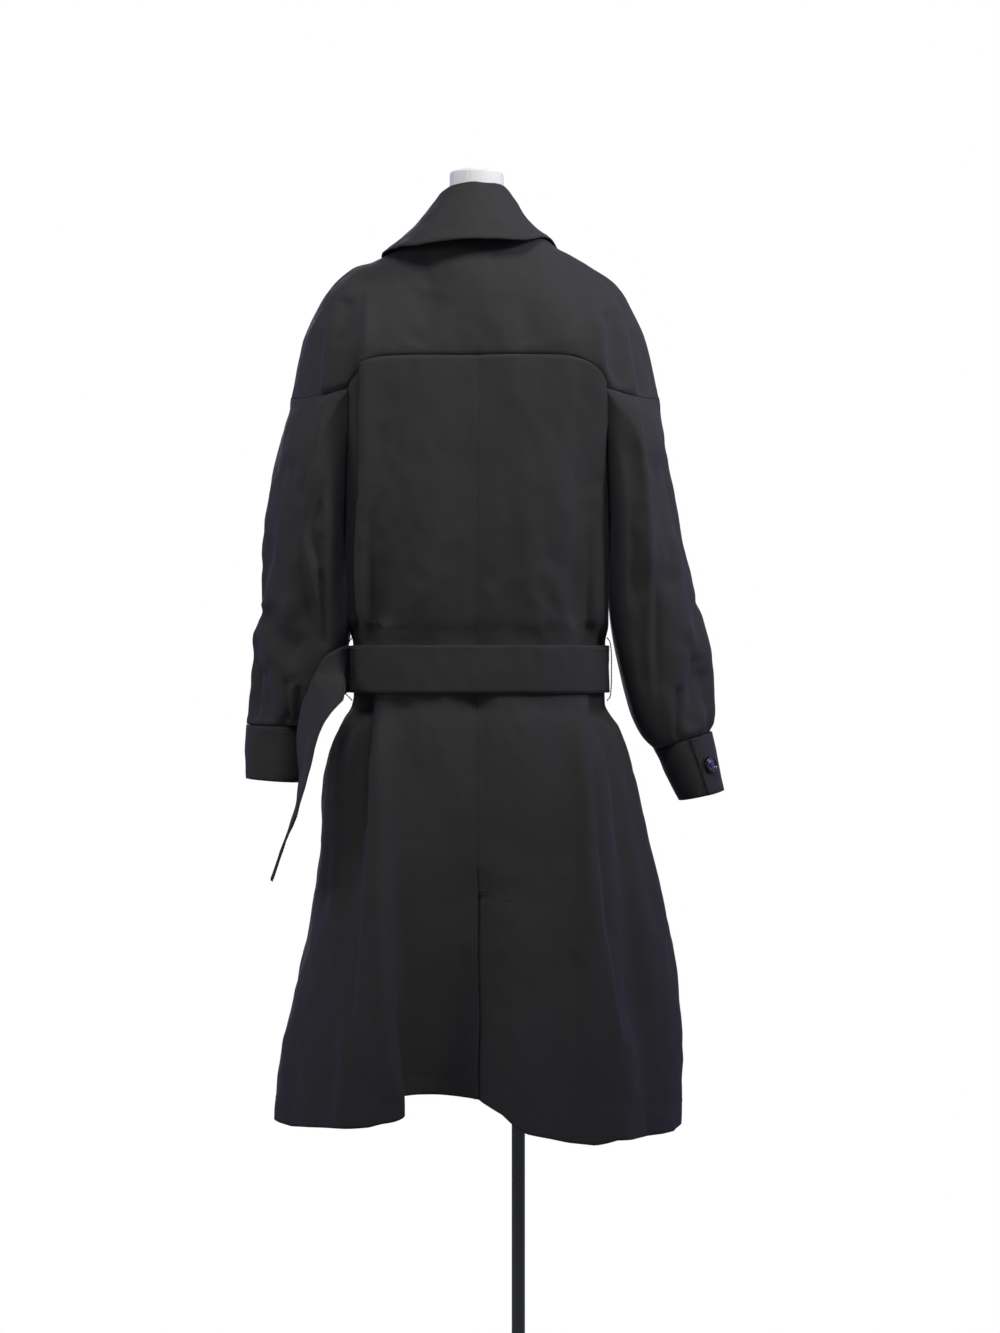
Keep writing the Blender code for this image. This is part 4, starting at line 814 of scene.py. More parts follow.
def declareSheet(piece, grid, sewn=(), ring=False):
    # the cut size: its longest row and column, and its area
    whole = np.concatenate([grid, grid[:, :1]], 1) if ring else grid
    width = edgeDistance(whole, "last")[:, 0].max()
    length = edgeDistance(whole, "high")[0].max()
    across, up = np.diff(whole, axis=1), np.diff(whole, axis=0)
    area = np.linalg.norm(np.cross(across[:-1], up[:, :-1]), axis=-1).sum()
    area = min(area, 0.999 * width * length)
    print(f"sheet {piece.name}: {1000 * width:.0f} x {1000 * length:.0f} mm, {area:.3f} square metres")


def armholeStill(grid):
    # 0 at the armhole, 1 away from it
    rise = (np.arange(grid.shape[0]) - sum(body["rowSteps"][:3]))[:, None]
    away = ease(edgeDistance(grid, "last") / quiet["armhole"])
    return np.where(rise > 0, away, np.clip(away + ease(-rise / quiet["armholeRows"]), 0, 1))


def endOfSeam(shares):
    # the yoke's seam is flat where it nears the armhole
    return (1 - seam["endShare"] * ease((shares - seam["endFrom"]) / seam["endOver"]))[None, :]


def onFace(grid, normals, x, z):
    # the spot just above a back or front at an x and z
    miss = np.abs(grid[..., 2] - z) + np.abs(grid[..., 0] - x)
    row, column = np.unravel_index(np.argmin(miss), miss.shape)
    row, column = min(max(row, 1), grid.shape[0] - 2), min(max(column, 1), grid.shape[1] - 2)
    up, across = grid[row + 1, column] - grid[row - 1, column], grid[row, column + 1] - grid[row, column - 1]
    away = np.array([x, z]) - grid[row, column, [0, 2]]
    part = np.linalg.solve(np.array([[across[0], up[0]], [across[2], up[2]]]), away)
    lift = normals[row, column] * (cloth["thickness"] / 2 + stitch["lift"])
    return grid[row, column] + part[0] * across + part[1] * up + lift


def makeBacks():
    # gives the upper edge of each, for the yoke
    edges = {}
    for side, name, node in bothSides("back", "back"):
        grid = backGrid(side)
        grid[:, 0, 0] = 0
        if side < 0:
            grid = layUnder(grid)
        normals = gridNormals(grid) * -side
        push = bodyPush(grid, normals, armholeStill(grid))
        push += seamDepth(grid, ("high",)) * endOfSeam(columnShares())
        push += seamDepth(grid, ("last",), seam["softDepth"])
        seamed = ease((grid[:, :1, 2] - vent["top"]) / vent["seamEase"])
        push += seamDepth(grid, ("first",), *seam["centre"]) * seamed
        grid = grid + normals * push[..., None]
        edges[side] = grid[-1]
        grid = inset(grid, ("first", "last", "high"), cloth["seamGap"] / 2)
        normals = gridNormals(grid) * -side
        piece = clothPiece(name, grid[:, ::side], (node,))
        lines = [edgeLine(grid, normals, "low", stitch["hem"])]
        if side > 0:
            edge = edgeLine(grid, normals, "first", stitch["fromEdge"])
            lines.append(edge[edge[:, 2] < vent["top"]])
            slant = np.linspace(*vent["slant"], vent["slantPoints"])
            lines.append(np.array([onFace(grid, normals, x, z) for x, z in slant]))
        declareSheet(piece, grid, [sewLines(name + "Stitches", lines)])
    return edges


# how the cloth leaves the seam and arrives at the shoulder, at its outer end: outwards, back, up
shoulderRun = {"leave": (0.085, 0.0, -0.030), "arrive": (0.010, -0.105, 0.030)}
yoke = {
    "neckMiddle": (0.004, 0.062, 1.440),
    "outerFrom": 0.78,
    "leaveUp": 0.20,
    "arriveBack": -0.17,
    "neckUp": 0.06,
    "spread": 0.02,
    # the bend below the neck's corner is evened out this far, in columns and metres
    "evenColumns": 52,
    "evenEase": 36,
    "evenBelow": 0.035,
    "evenAbove": 0.02,
    "evenRounds": 600,
    "sideStill": 0.008,
    "topStill": 0.014,
    "follow": 0.03,
}


def yokeHalf(side, seamLine):
    neckPoint = shoulderLine(side, [0.0])[0]
    neckMiddle = np.array(yoke["neckMiddle"])
    turn = np.linspace(math.pi / 2, 0, body["neckColumns"] + 1)[:-1]
    neckX = neckMiddle[0] + (neckPoint[0] - neckMiddle[0]) * np.cos(turn)
    neckZ = neckPoint[2] + (neckMiddle[2] - neckPoint[2]) * np.sin(turn)
    neck = np.stack([neckX, neckMiddle[1] * np.sin(turn), neckZ], -1)
    top = np.concatenate([neck, shoulderLine(side, np.linspace(0, 1, body["shoulderColumns"] + 1))])
    shares = columnShares()[:, None]
    outer = ease((shares - yoke["outerFrom"]) / (1 - yoke["outerFrom"]))
    sideways = yoke["spread"] * side * shares
    leave = np.concatenate([sideways, 0 * shares, yoke["leaveUp"] - yoke["spread"] * shares], -1)
    leave = leave * (1 - outer) + outer * np.array([side, 1, 1]) * shoulderRun["leave"]
    neckPart = ease(1 - shares * (body["neckColumns"] + body["shoulderColumns"]) / body["neckColumns"])
    arrive = np.concatenate([sideways, yoke["arriveBack"] + 0 * shares, yoke["neckUp"] * neckPart], -1)
    arrive = arrive * (1 - outer) + outer * np.array([side, 1, 1]) * shoulderRun["arrive"]
    rise = np.linspace(0, 1, body["yokeRows"] + 1)[:, None, None]
    return hermite(seamLine[None], top[None], leave[None], arrive[None], rise)


# creases of the dropped shoulders, which run on from the yoke to the sleeves
shoulderCreases = [
    ("bs", 0.017, 0.009, -0.003, -0.006, [(0.1676, 1.362), (0.1759, 1.299), (0.1806, 1.252), (0.1829, 1.211),
     (0.1888, 1.17), (0.197, 1.129), (0.2075, 1.064), (0.2017, 1.035), (0.1946, 0.988), (0.1876, 0.941),
     (0.179, 0.905)]),
    ("bs", 0.009, 0.017, 0.003, 0.006, [(-0.156, 1.372), (-0.1621, 1.346), (-0.1727, 1.317), (-0.1786, 1.287),
     (-0.1833, 1.252), (-0.188, 1.223), (-0.1927, 1.188), (-0.1997, 1.129), (-0.205, 1.058), (-0.206, 1.0),
     (-0.205, 0.93), (-0.21, 0.85)]),
    ("b", 0.008, 0.01, -0.004, -0.004, [(0.152, 1.345), (0.155, 1.31), (0.16, 1.28)]),
    ("b", 0.009, 0.009, -0.006, -0.006, [(-0.155, 1.335), (-0.16, 1.29), (-0.164, 1.23)]),
    ("b", 0.017, 0.017, -0.0025, -0.0025, [(0.075, 1.28), (0.05, 1.35)]),
    ("b", 0.017, 0.017, -0.003, -0.003, [(-0.065, 1.28), (-0.048, 1.35)]),
    ("b", 0.02, 0.024, 0.0025, 0.0025, [(-0.1, 1.275), (-0.09, 1.35)]),
]  # fmt: skip


def makeYoke(backEdges):
    left, right = (yokeHalf(side, backGrid(side)[-1]) for side in (1, -1))
    grid = np.concatenate([right[:, :0:-1], left], 1)
    column = np.abs(np.arange(grid.shape[1]) - grid.shape[1] // 2)
    soft = ease((body["neckColumns"] + yoke["evenColumns"] - column) / yoke["evenEase"])[None, :]
    soft = soft * ease(edgeDistance(grid, "high") / yoke["evenBelow"])
    soft = soft * ease(edgeDistance(grid, "low") / yoke["evenAbove"])
    for _ in range(yoke["evenRounds"]):
        mean = (grid[:, 2:] + grid[:, :-2]) / 2
        grid[:, 1:-1] += 0.5 * soft[:, 1:-1, None] * (mean - grid[:, 1:-1])
    normals = -gridNormals(grid)
    points = grid.reshape(-1, 3)
    push = wrinkleDepth(points) + creaseDepth(points, normals.reshape(-1, 3), shoulderCreases + bodyCreases)
    push = push.reshape(grid.shape[:2])
    for edge, reach in (("first", "sideStill"), ("last", "sideStill"), ("high", "topStill")):
        push *= ease(edgeDistance(grid, edge) / yoke[reach])
    shares = np.concatenate([columnShares()[:0:-1], columnShares()])
    push += seamDepth(grid, ("low",)) * endOfSeam(shares)
    push += seamDepth(grid, ("high",)) + seamDepth(grid, ("first", "last"), *seam["armhole"])
    grid = grid + normals * push[..., None]
    # its lower edge follows the backs' upper edges
    follow = 1 - ease(edgeDistance(grid, "low") / yoke["follow"])
    grid = grid + follow[..., None] * (np.concatenate([backEdges[-1][:0:-1], backEdges[1]]) - grid[0])
    grid = inset(grid, ("first", "last", "low", "high"), cloth["seamGap"] / 2)
    piece = clothPiece("backYoke", grid, ("back_yoke",))
    lines = [edgeLine(grid, -gridNormals(grid), "low", stitch["fromEdge"])]
    declareSheet(piece, grid, [sewLines("backYokeStitches", lines)])


button = {
    "points": 26,
    "frontRadius": 0.0115,
    "cuffRadius": 0.0100,
    "steps": 48,
    "frontHeights": (1.105, 0.990, 0.800),
    "frontReach": 0.060,
    # share of the radius out from the middle, height
    "profile": [(0.0, 0.0040), (0.30, 0.0039), (0.55, 0.0034), (0.66, 0.0034), (0.72, 0.0044), (0.80, 0.0050),
                (0.88, 0.0048), (0.95, 0.0038), (1.0, 0.0022), (0.985, 0.0010), (0.93, 0.0002), (0.80, 0.0),
                (0.0, 0.0)],
    "seat": 0.0003,
    "threadReach": 0.26,
    "threadHeight": 0.0041,
}  # fmt: skip
front = {
    "overlap": 0.085,
    "lapelBreak": 1.170,
    "lift": 0.0050,
    # the right front rises over the left one between these X
    "liftFrom": -0.150,
    "liftOver": 0.120,
    "topDrop": 0.03,
    "topStill": 0.02,
    "extraColumns": 10,
    # the front's quarter, for the overlap's share of it, and how much longer it is below the belt
    "quarter": (0.2, 0.13, 2.4),
    "skirtMore": 0.25,
    "skirtTop": (0.907, 0.039),
    "outerFrom": 0.75,
    "innerTo": 0.5,
    "leaveUp": 0.21,
    "arriveFront": 0.17,
    "spread": 0.02,
    "innerLeave": (0.085, 0.0, -0.02),
    "innerArrive": (0.05, 0.0, 0.05),
}


def frontGrid(side):
    shares = np.linspace(0, 1, body["shoulderColumns"] + front["extraColumns"] + 1)
    heights = edgeHeights()
    length = quarterSection(*front["quarter"], 1.0)[2]
    neck = shoulderLine(side, [0.0])[0]
    beltHeight, beltEase = front["skirtTop"]
    rows = []
    for k, z in enumerate(heights):
        past = front["overlap"]
        if z > body["underarm"]:
            share = (z - body["underarm"]) / (body["yokeEnd"] - body["underarm"])
            up = z + front["topDrop"] * share - front["lapelBreak"]
            past -= max(0.0, up) * (front["overlap"] + abs(neck[0])) / (neck[2] - front["lapelBreak"])
        size = length * (1 + front["skirtMore"] * (1 - ease((z - beltHeight) / beltEase)))
        around = -past / size + shares * (1 + past / size)
        rows.append(panelRow(side, True, around, k, body["yokeEnd"] + front["topDrop"], heights))
    lower = np.array(rows)
    shares = shares[:, None]
    outer = ease((shares - front["outerFrom"]) / (1 - front["outerFrom"]))
    inner = ease(1 - shares / front["innerTo"])
    turned = np.array([side, 1, 1])
    spread = front["spread"] * side * shares
    leave = np.concatenate([spread, 0 * outer, front["leaveUp"] - front["spread"] * outer], -1)
    leave = leave + inner * turned * front["innerLeave"]
    leave = leave * (1 - outer) + outer * turned * shoulderRun["leave"]
    arrive = np.concatenate([spread, front["arriveFront"] + 0 * outer, 0 * outer], -1)
    arrive = arrive + inner * turned * front["innerArrive"]
    arrive = arrive * (1 - outer) + outer * np.array([side, -1, 1]) * shoulderRun["arrive"]
    rise = np.linspace(0, 1, body["yokeRows"] + 1)[1:, None, None]
    top = shoulderLine(side, shares[:, 0])
    return np.concatenate([lower, hermite(lower[-1][None], top[None], leave[None], arrive[None], rise)])


def overLeft(x):
    return front["lift"] * ease((x - front["liftFrom"]) / front["liftOver"])


def makeFronts():
    made = {}
    for side, name, node in bothSides("front", "front"):
        grid = frontGrid(side)
        plain = grid.copy()
        normals = gridNormals(grid) * side
        if side < 0:
            grid = grid + normals * overLeft(grid[..., 0])[..., None]
        still = armholeStill(plain) * ease(edgeDistance(plain, "high") / front["topStill"])
        push = bodyPush(plain, normals, still)
        push += seamDepth(plain, ("last", "high"))
        grid = inset(grid + normals * push[..., None], ("last", "high"), cloth["seamGap"] / 2)
        normals = gridNormals(grid) * side
        made[side] = (grid, normals)
        piece = clothPiece(name, grid[:, :: -side], (node,))
        edge = edgeLine(grid, normals, "first", stitch["fromEdge"])
        lines = [edgeLine(grid, normals, "low", stitch["hem"]), edge[edge[:, 2] < front["lapelBreak"]]]
        if side < 0:
            for height in button["frontHeights"]:
                for rise in (-stitch["holeRows"], stitch["holeRows"]):
                    run = np.linspace(0.5, -0.5, 12) * stitch["buttonhole"] + button["frontReach"]
                    lines.append(np.array([onFace(grid, normals, x, height + rise) for x in run]))
        declareSheet(piece, grid, [sewLines(name + "Stitches", lines)])
    return made


sleeves = {
    "rowSpacing": 0.0036,
    "squareOut": 1.5,
    "squareIn": 4.2,
    "linePoints": 81,
    "headRows": 5,  # rings that keep the armhole's spacing
    "headEase": 1.35,
    "headLift": 0.0002,
    "waves": (1.5, 1.2),
    "topStill": 0.018,
    "endStill": (0.3, 0.012),
    "inwardShare": 0.95,
    "inwardRise": 2.0,
    "inwardFrom": 0.03,
    "inwardLift": 0.0005,
    1: table(
        "outer outerHeight inner innerHeight middle back front backCrease frontCrease",
        (0.2300, 1.206, 0.1600, 1.088, 0.000, 0.093, 0.088, 0.47, 0.50),
        (0.2385, 1.164, 0.1608, 1.068, 0.000, 0.093, 0.088, 0.48, 0.50),
        (0.2465, 1.118, 0.1608, 1.043, -0.002, 0.091, 0.088, 0.47, 0.50),
        (0.2525, 1.070, 0.1608, 1.013, -0.004, 0.088, 0.088, 0.46, 0.50),
        (0.2585, 1.022, 0.1590, 0.980, -0.008, 0.084, 0.086, 0.52, 0.48),
        (0.2660, 0.974, 0.1568, 0.950, -0.012, 0.079, 0.082, 0.60, 0.45),
        (0.2715, 0.930, 0.1650, 0.915, -0.015, 0.071, 0.077, 0.68, 0.42),
        (0.2765, 0.895, 0.1790, 0.884, -0.017, 0.067, 0.071, 0.66, 0.42),
        (0.2795, 0.868, 0.1850, 0.860, -0.018, 0.061, 0.066, 0.60, 0.45),
        (0.2815, 0.851, 0.1930, 0.847, -0.018, 0.055, 0.059, 0.54, 0.48),
        (0.2800, 0.8405, 0.2050, 0.8385, -0.018, 0.048, 0.050, 0.50, 0.50),
    ),
    -1: table(
        "outer outerHeight inner innerHeight middle back front backCrease frontCrease",
        (0.2215, 1.206, 0.1572, 1.088, 0.000, 0.092, 0.088, 0.40, 0.50),
        (0.2305, 1.164, 0.1580, 1.068, 0.000, 0.092, 0.088, 0.39, 0.50),
        (0.2385, 1.118, 0.1582, 1.043, -0.002, 0.090, 0.088, 0.40, 0.50),
        (0.2455, 1.070, 0.1582, 1.013, -0.004, 0.087, 0.088, 0.42, 0.50),
        (0.2560, 1.022, 0.1590, 0.980, -0.008, 0.083, 0.086, 0.46, 0.48),
        (0.2690, 0.974, 0.1640, 0.942, -0.012, 0.078, 0.082, 0.52, 0.46),
        (0.2755, 0.930, 0.1715, 0.907, -0.015, 0.073, 0.077, 0.58, 0.44),
        (0.2765, 0.893, 0.1790, 0.876, -0.017, 0.067, 0.071, 0.62, 0.44),
        (0.2785, 0.864, 0.1885, 0.846, -0.018, 0.061, 0.066, 0.58, 0.46),
        (0.2790, 0.845, 0.2000, 0.825, -0.018, 0.055, 0.059, 0.54, 0.48),
        (0.2775, 0.8315, 0.2120, 0.8125, -0.018, 0.048, 0.050, 0.50, 0.50),
    ),
}
sleeveCreases = {
    1: [
        ("b", 0.012, 0.015, -0.007, -0.006, [(0.168, 1.128), (0.185, 1.098), (0.2, 1.066), (0.188, 1.042),
         (0.17, 1.022)]),
        ("b", 0.009, 0.006, 0.008, 0.002, [(0.162, 1.088), (0.174, 1.078), (0.188, 1.064)]),
        ("b", 0.01, 0.009, -0.01, -0.007, [(0.178, 1.03), (0.179, 0.965), (0.178, 0.925)]),
        ("b", 0.013, 0.016, -0.005, -0.006, [(0.222, 1.17), (0.227, 1.06), (0.23, 0.97)]),
        ("b", 0.012, 0.013, 0.0035, 0.0035, [(0.24, 1.16), (0.245, 1.05), (0.252, 0.96)]),
        ("b", 0.01, 0.013, -0.007, -0.005, [(0.256, 0.985), (0.233, 0.945), (0.206, 0.925)]),
        ("b", 0.011, 0.009, 0.0055, 0.004, [(0.262, 0.96), (0.24, 0.92), (0.212, 0.895)]),
        ("b", 0.008, 0.007, -0.006, -0.005, [(0.256, 0.915), (0.252, 0.87), (0.25, 0.838)]),
        ("b", 0.005, 0.004, -0.005, -0.005, [(0.229, 0.9), (0.225, 0.862), (0.2235, 0.838)]),
        ("b", 0.0045, 0.005, 0.004, 0.004, [(0.221, 0.89), (0.219, 0.862), (0.219, 0.838)]),
        ("b", 0.005, 0.004, -0.005, -0.005, [(0.212, 0.89), (0.213, 0.862), (0.215, 0.838)]),
        ("b", 0.007, 0.006, -0.0045, -0.004, [(0.27, 0.93), (0.268, 0.88), (0.266, 0.84)]),
        ("l", 0.014, 0.018, -0.006, -0.006, [(-0.035, 1.19), (-0.02, 1.06), (-0.035, 0.94)]),
        ("l", 0.012, 0.014, -0.006, -0.005, [(0.04, 1.07), (0.005, 0.99), (-0.03, 0.94)]),
        ("l", 0.01, 0.01, 0.004, 0.004, [(0.03, 0.99), (0.0, 0.95), (-0.04, 0.93)]),
        ("l", 0.008, 0.008, -0.005, -0.0045, [(0.01, 0.92), (0.005, 0.87), (0.004, 0.838)]),
        ("l", 0.008, 0.008, -0.005, -0.0045, [(-0.035, 0.92), (-0.033, 0.87), (-0.032, 0.838)]),
        ("f", 0.014, 0.012, -0.008, -0.006, [(0.185, 1.18), (0.195, 1.08), (0.21, 1.0)]),
        ("f", 0.011, 0.013, -0.007, -0.006, [(0.25, 1.01), (0.225, 0.965), (0.19, 0.945)]),
        ("f", 0.01, 0.011, -0.006, -0.006, [(0.265, 0.95), (0.24, 0.91), (0.205, 0.9)]),
        ("f", 0.006, 0.006, -0.005, -0.005, [(0.25, 0.9), (0.243, 0.838)]),
        ("f", 0.006, 0.006, -0.005, -0.005, [(0.225, 0.89), (0.225, 0.838)]),
    ],
    -1: [
        ("b", 0.015, 0.015, -0.003, -0.01, [(-0.168, 1.19), (-0.169, 1.14), (-0.17, 1.078), (-0.171, 1.03),
         (-0.176, 0.97)]),
        ("b", 0.015, 0.012, -0.006, -0.005, [(-0.218, 1.17), (-0.223, 1.07), (-0.233, 0.985)]),
        ("b", 0.011, 0.01, 0.004, 0.006, [(-0.235, 1.08), (-0.248, 1.0), (-0.254, 0.93)]),
        ("b", 0.007, 0.008, -0.006, -0.005, [(-0.26, 0.93), (-0.254, 0.87), (-0.25, 0.83)]),
        ("b", 0.0045, 0.005, -0.005, -0.005, [(-0.236, 0.89), (-0.236, 0.85), (-0.236, 0.82)]),
        ("r", 0.014, 0.018, -0.006, -0.006, [(0.035, 1.19), (0.02, 1.06), (0.035, 0.94)]),
        ("r", 0.012, 0.014, -0.006, -0.005, [(-0.04, 1.07), (-0.005, 0.99), (0.03, 0.94)]),
        ("r", 0.008, 0.008, -0.005, -0.0045, [(0.01, 0.91), (0.005, 0.86), (0.004, 0.825)]),
        ("r", 0.008, 0.008, -0.005, -0.0045, [(-0.035, 0.91), (-0.033, 0.86), (-0.032, 0.825)]),
        ("f", 0.012, 0.014, -0.008, -0.006, [(-0.182, 1.18), (-0.192, 1.08), (-0.205, 1.0)]),
        ("f", 0.013, 0.011, -0.007, -0.006, [(-0.25, 1.01), (-0.225, 0.965), (-0.19, 0.945)]),
        ("f", 0.01, 0.01, -0.006, -0.006, [(-0.265, 0.95), (-0.24, 0.905), (-0.205, 0.89)]),
        ("f", 0.006, 0.006, -0.005, -0.005, [(-0.25, 0.89), (-0.243, 0.825)]),
    ],
}  # fmt: skip


def ringQuarters(rows, i, side, squareOut, squareIn):
    # a sleeve ring as four fine lines, from its outer side round the back
    get = {name: column[i] for name, column in rows.items()}
    outer = np.array([side * get["outer"], get["middle"], get["outerHeight"]])
    inner = np.array([side * get["inner"], get["middle"], get["innerHeight"]])
    fine = np.linspace(0, 1, sleeves["linePoints"])
    quarters = []
    for face, crease, depth in ((1, "backCrease", "back"), (-1, "frontCrease", "front")):
        centre = outer + (inner - outer) * get.get(crease, 0.5)
        tip = np.array([0, face * get[depth], 0])
        for end, square in ((outer, squareOut), (inner, squareIn)):
            a, b, _ = quarterSection(1.0, 1.0, square, fine)
            quarters.append(centre + a[:, None] * (end - centre) + b[:, None] * tip)
    backOut, backIn, frontOut, frontIn = quarters
    return backOut[::-1], backIn, frontIn[::-1], frontOut


def armholeLoop(side):
    # from its outer top round the back to the underarm, and back up the front
    back, fronts = backGrid(side), frontGrid(side)
    upper = yokeHalf(side, back[-1])
    first = sum(body["rowSteps"][:3])
    downBack = np.concatenate([upper[::-1, -1], back[first:-1, -1][::-1]])
    return np.concatenate([downBack, fronts[first + 1 : -1, -1]])


def sleeveGrid(side):
    loop = armholeLoop(side)
    half = body["yokeRows"] + body["rowSteps"][3]
    run = runAlong(np.concatenate([loop, loop[:1]]))
    downBack = run[: half + 1] / run[half]
    upFront = (run[half:] - run[half]) / (run[-1] - run[half])
    even = np.linspace(0, 1, half + 1)
    turn = np.abs(np.arange(len(loop)) - half)
    inside = ease(sleeves["headEase"] - turn / body["rowSteps"][3])
    head = loop.copy()
    layer = cloth["thickness"] + cloth["layerGap"]
    head[:, 0] += side * (inside * layer + (1 - inside) * sleeves["headLift"])
    head[:, 2] -= (1 - inside) * cloth["seamGap"]
    rings = [head]
    for i in range(len(sleeves[side]["outer"])):
        keep = max(0.0, 1 - (i + 1) / sleeves["headRows"])
        quarters = ringQuarters(sleeves[side], i, side, sleeves["squareOut"], sleeves["squareIn"])
        backLine = np.concatenate([quarters[0], quarters[1][1:]])
        frontLine = np.concatenate([quarters[2], quarters[3][1:]])
        back = alongLine(backLine, downBack * keep + even * (1 - keep))
        rings.append(np.concatenate([back, alongLine(frontLine, upFront * keep + even * (1 - keep))[1:-1]]))
    return refineRows(np.array(rings), sleeves["rowSpacing"])


def makeSleeves():
    for side, name, node in bothSides("sleeve", "sleeve"):
        grid = sleeveGrid(side)
        normals = gridNormals(grid, ring=True)
        if np.sum(normals[..., 0] * (grid[..., 0] - grid[..., 0].mean(1, keepdims=True))) < 0:
            normals = -normals
        points = grid.reshape(-1, 3)
        push = creaseDepth(points, normals.reshape(-1, 3), shoulderCreases + sleeveCreases[side])
        push = (push + wrinkleDepth(points, *sleeves["waves"])).reshape(grid.shape[:2])
        least, reach = sleeves["endStill"]
        push *= ease(edgeDistance(grid, "low") / sleeves["topStill"])
        push *= least + (1 - least) * ease(edgeDistance(grid, "high") / reach)
        # the inner side stays clear of the body
        inward = ease(-normals[..., 0] * side * sleeves["inwardRise"])
        lift = sleeves["inwardLift"] * ease(edgeDistance(grid, "low") / sleeves["inwardFrom"])
        push = push * (1 - sleeves["inwardShare"] * inward) + lift * inward
        push += seamDepth(grid, ("low",), *seam["armhole"])
        push += seamDepth(grid, ("high",), seam["softDepth"])
        grid = grid + normals * push[..., None]
        piece = clothPiece(name, grid[:, ::-1], (node,), ring=True)
        declareSheet(piece, grid, ring=True)


cuffs = {
    "rows": 16,
    "columns": 140,
    "lapDegrees": 34,
    "endDegrees": {1: -27, -1: 80},
    "buttonDegrees": 18,
    "square": 2.2,
    "waves": (0.35, 0.8),
    "thickness": 0.0019,
    1: table(
        "outer outerHeight inner innerHeight middle back front",
        (0.2800, 0.8400, 0.2050, 0.8380, -0.018, 0.048, 0.050),
        (0.2810, 0.8080, 0.2110, 0.8050, -0.018, 0.049, 0.051),
        (0.2790, 0.7760, 0.2155, 0.7710, -0.018, 0.050, 0.052),
    ),
    -1: table(
        "outer outerHeight inner innerHeight middle back front",
        (0.2775, 0.8310, 0.2120, 0.8120, -0.018, 0.048, 0.050),
        (0.2850, 0.7960, 0.2275, 0.7810, -0.018, 0.050, 0.052),
        (0.2920, 0.7610, 0.2430, 0.7500, -0.018, 0.052, 0.054),
    ),
}


def cuffGrid(side):
    lap, end = cuffs["lapDegrees"] / 360, cuffs["endDegrees"][side] / 360
    around = np.linspace(0, 1 + lap, cuffs["columns"] + 1)
    rings = []
    for i in range(len(cuffs[side]["outer"])):
        quarters = ringQuarters(cuffs[side], i, side, cuffs["square"], cuffs["square"])
        whole = np.concatenate([quarters[0]] + [line[1:] for line in quarters[1:]])
        rings.append(alongLine(whole, (end - around) % 1))
    rings = np.array(rings)
    at = np.linspace(0, len(rings) - 1, cuffs["rows"] + 1)
    low = np.minimum(at.astype(int), len(rings) - 2)
    part = (at - low)[:, None, None]
    grid = rings[low] * (1 - part) + rings[low + 1] * part
    way = grid - grid.mean(1, keepdims=True)
    way /= np.linalg.norm(way, axis=-1, keepdims=True)
    out = (cuffs["thickness"] + cloth["layerGap"]) * (1 - ease((around - lap) / (1 - lap)))
    return grid + way * out[None, :, None], way


def makeCuffs():
    made = {}
    for side, name, node in bothSides("cuff", "cuff"):
        grid, way = cuffGrid(side)
        points = grid.reshape(-1, 3)
        push = wrinkleDepth(points, *cuffs["waves"]).reshape(grid.shape[:2])
        grid = inset(grid + way * push[..., None], ("low",), cloth["seamGap"])
        normals = gridNormals(grid)
        normals *= np.sign((normals * way).sum())
        made[side] = (grid, normals)
        piece = clothPiece(name, grid, (node,), thickness=cuffs["thickness"])
        edges = ("low", "high", "first")
        lines = [edgeLine(grid, normals, edge, stitch["fromEdge"], cuffs["thickness"]) for edge in edges]
        sewn = sewLines(name + "Stitches", lines)
        declareSheet(piece, grid, [sewn])
    return made


collar = {
    "columns": 150,
    "rows": 48,
    "foldRadius": 0.0045,
    "thickness": 0.0018,
    "waves": (0.5, 1.0),
    "still": 0.03,
    # where the rows of a section lie along its seam, stand, fold, belly and edge
    "keys": (0, 0.2, 0.38, 0.44, 0.50, 0.75, 1.0),
    "spread": ((0, 0.25, 0.375, 0.5, 0.625, 1), (0, 0.3, 0.39, 0.44, 0.52, 1)),
    "sections": table(
        "round seamX seamY seamZ topX topY topZ belly edgeX edgeY edgeZ",
        (-1.00, -0.012, -0.1230, 1.3420, -0.014, -0.130, 1.346, 0.002, -0.112, -0.108, 1.349),
        (-0.75, -0.034, -0.0700, 1.3990, -0.036, -0.078, 1.414, 0.000, -0.106, -0.064, 1.390),
        (-0.50, -0.052, 0.0000, 1.4333, -0.040, 0.004, 1.462, -0.004, -0.083, 0.014, 1.4210),
        (-0.25, -0.037, 0.0440, 1.4400, -0.025, 0.040, 1.4815, -0.003, -0.049, 0.090, 1.4085),
        (0.00, 0.006, 0.0610, 1.4417, 0.002, 0.054, 1.4835, 0.002, 0.006, 0.108, 1.4080),
        (0.25, 0.051, 0.0450, 1.4365, 0.029, 0.044, 1.4810, 0.000, 0.068, 0.094, 1.4040),
        (0.50, 0.068, 0.0000, 1.4280, 0.052, 0.004, 1.457, -0.003, 0.113, 0.018, 1.4050),
        (0.75, 0.052, -0.0700, 1.3945, 0.052, -0.078, 1.408, 0.000, 0.122, -0.062, 1.3750),
        (1.00, 0.028, -0.1190, 1.3400, 0.030, -0.127, 1.345, 0.002, 0.130, -0.104, 1.3420),
    ),
}


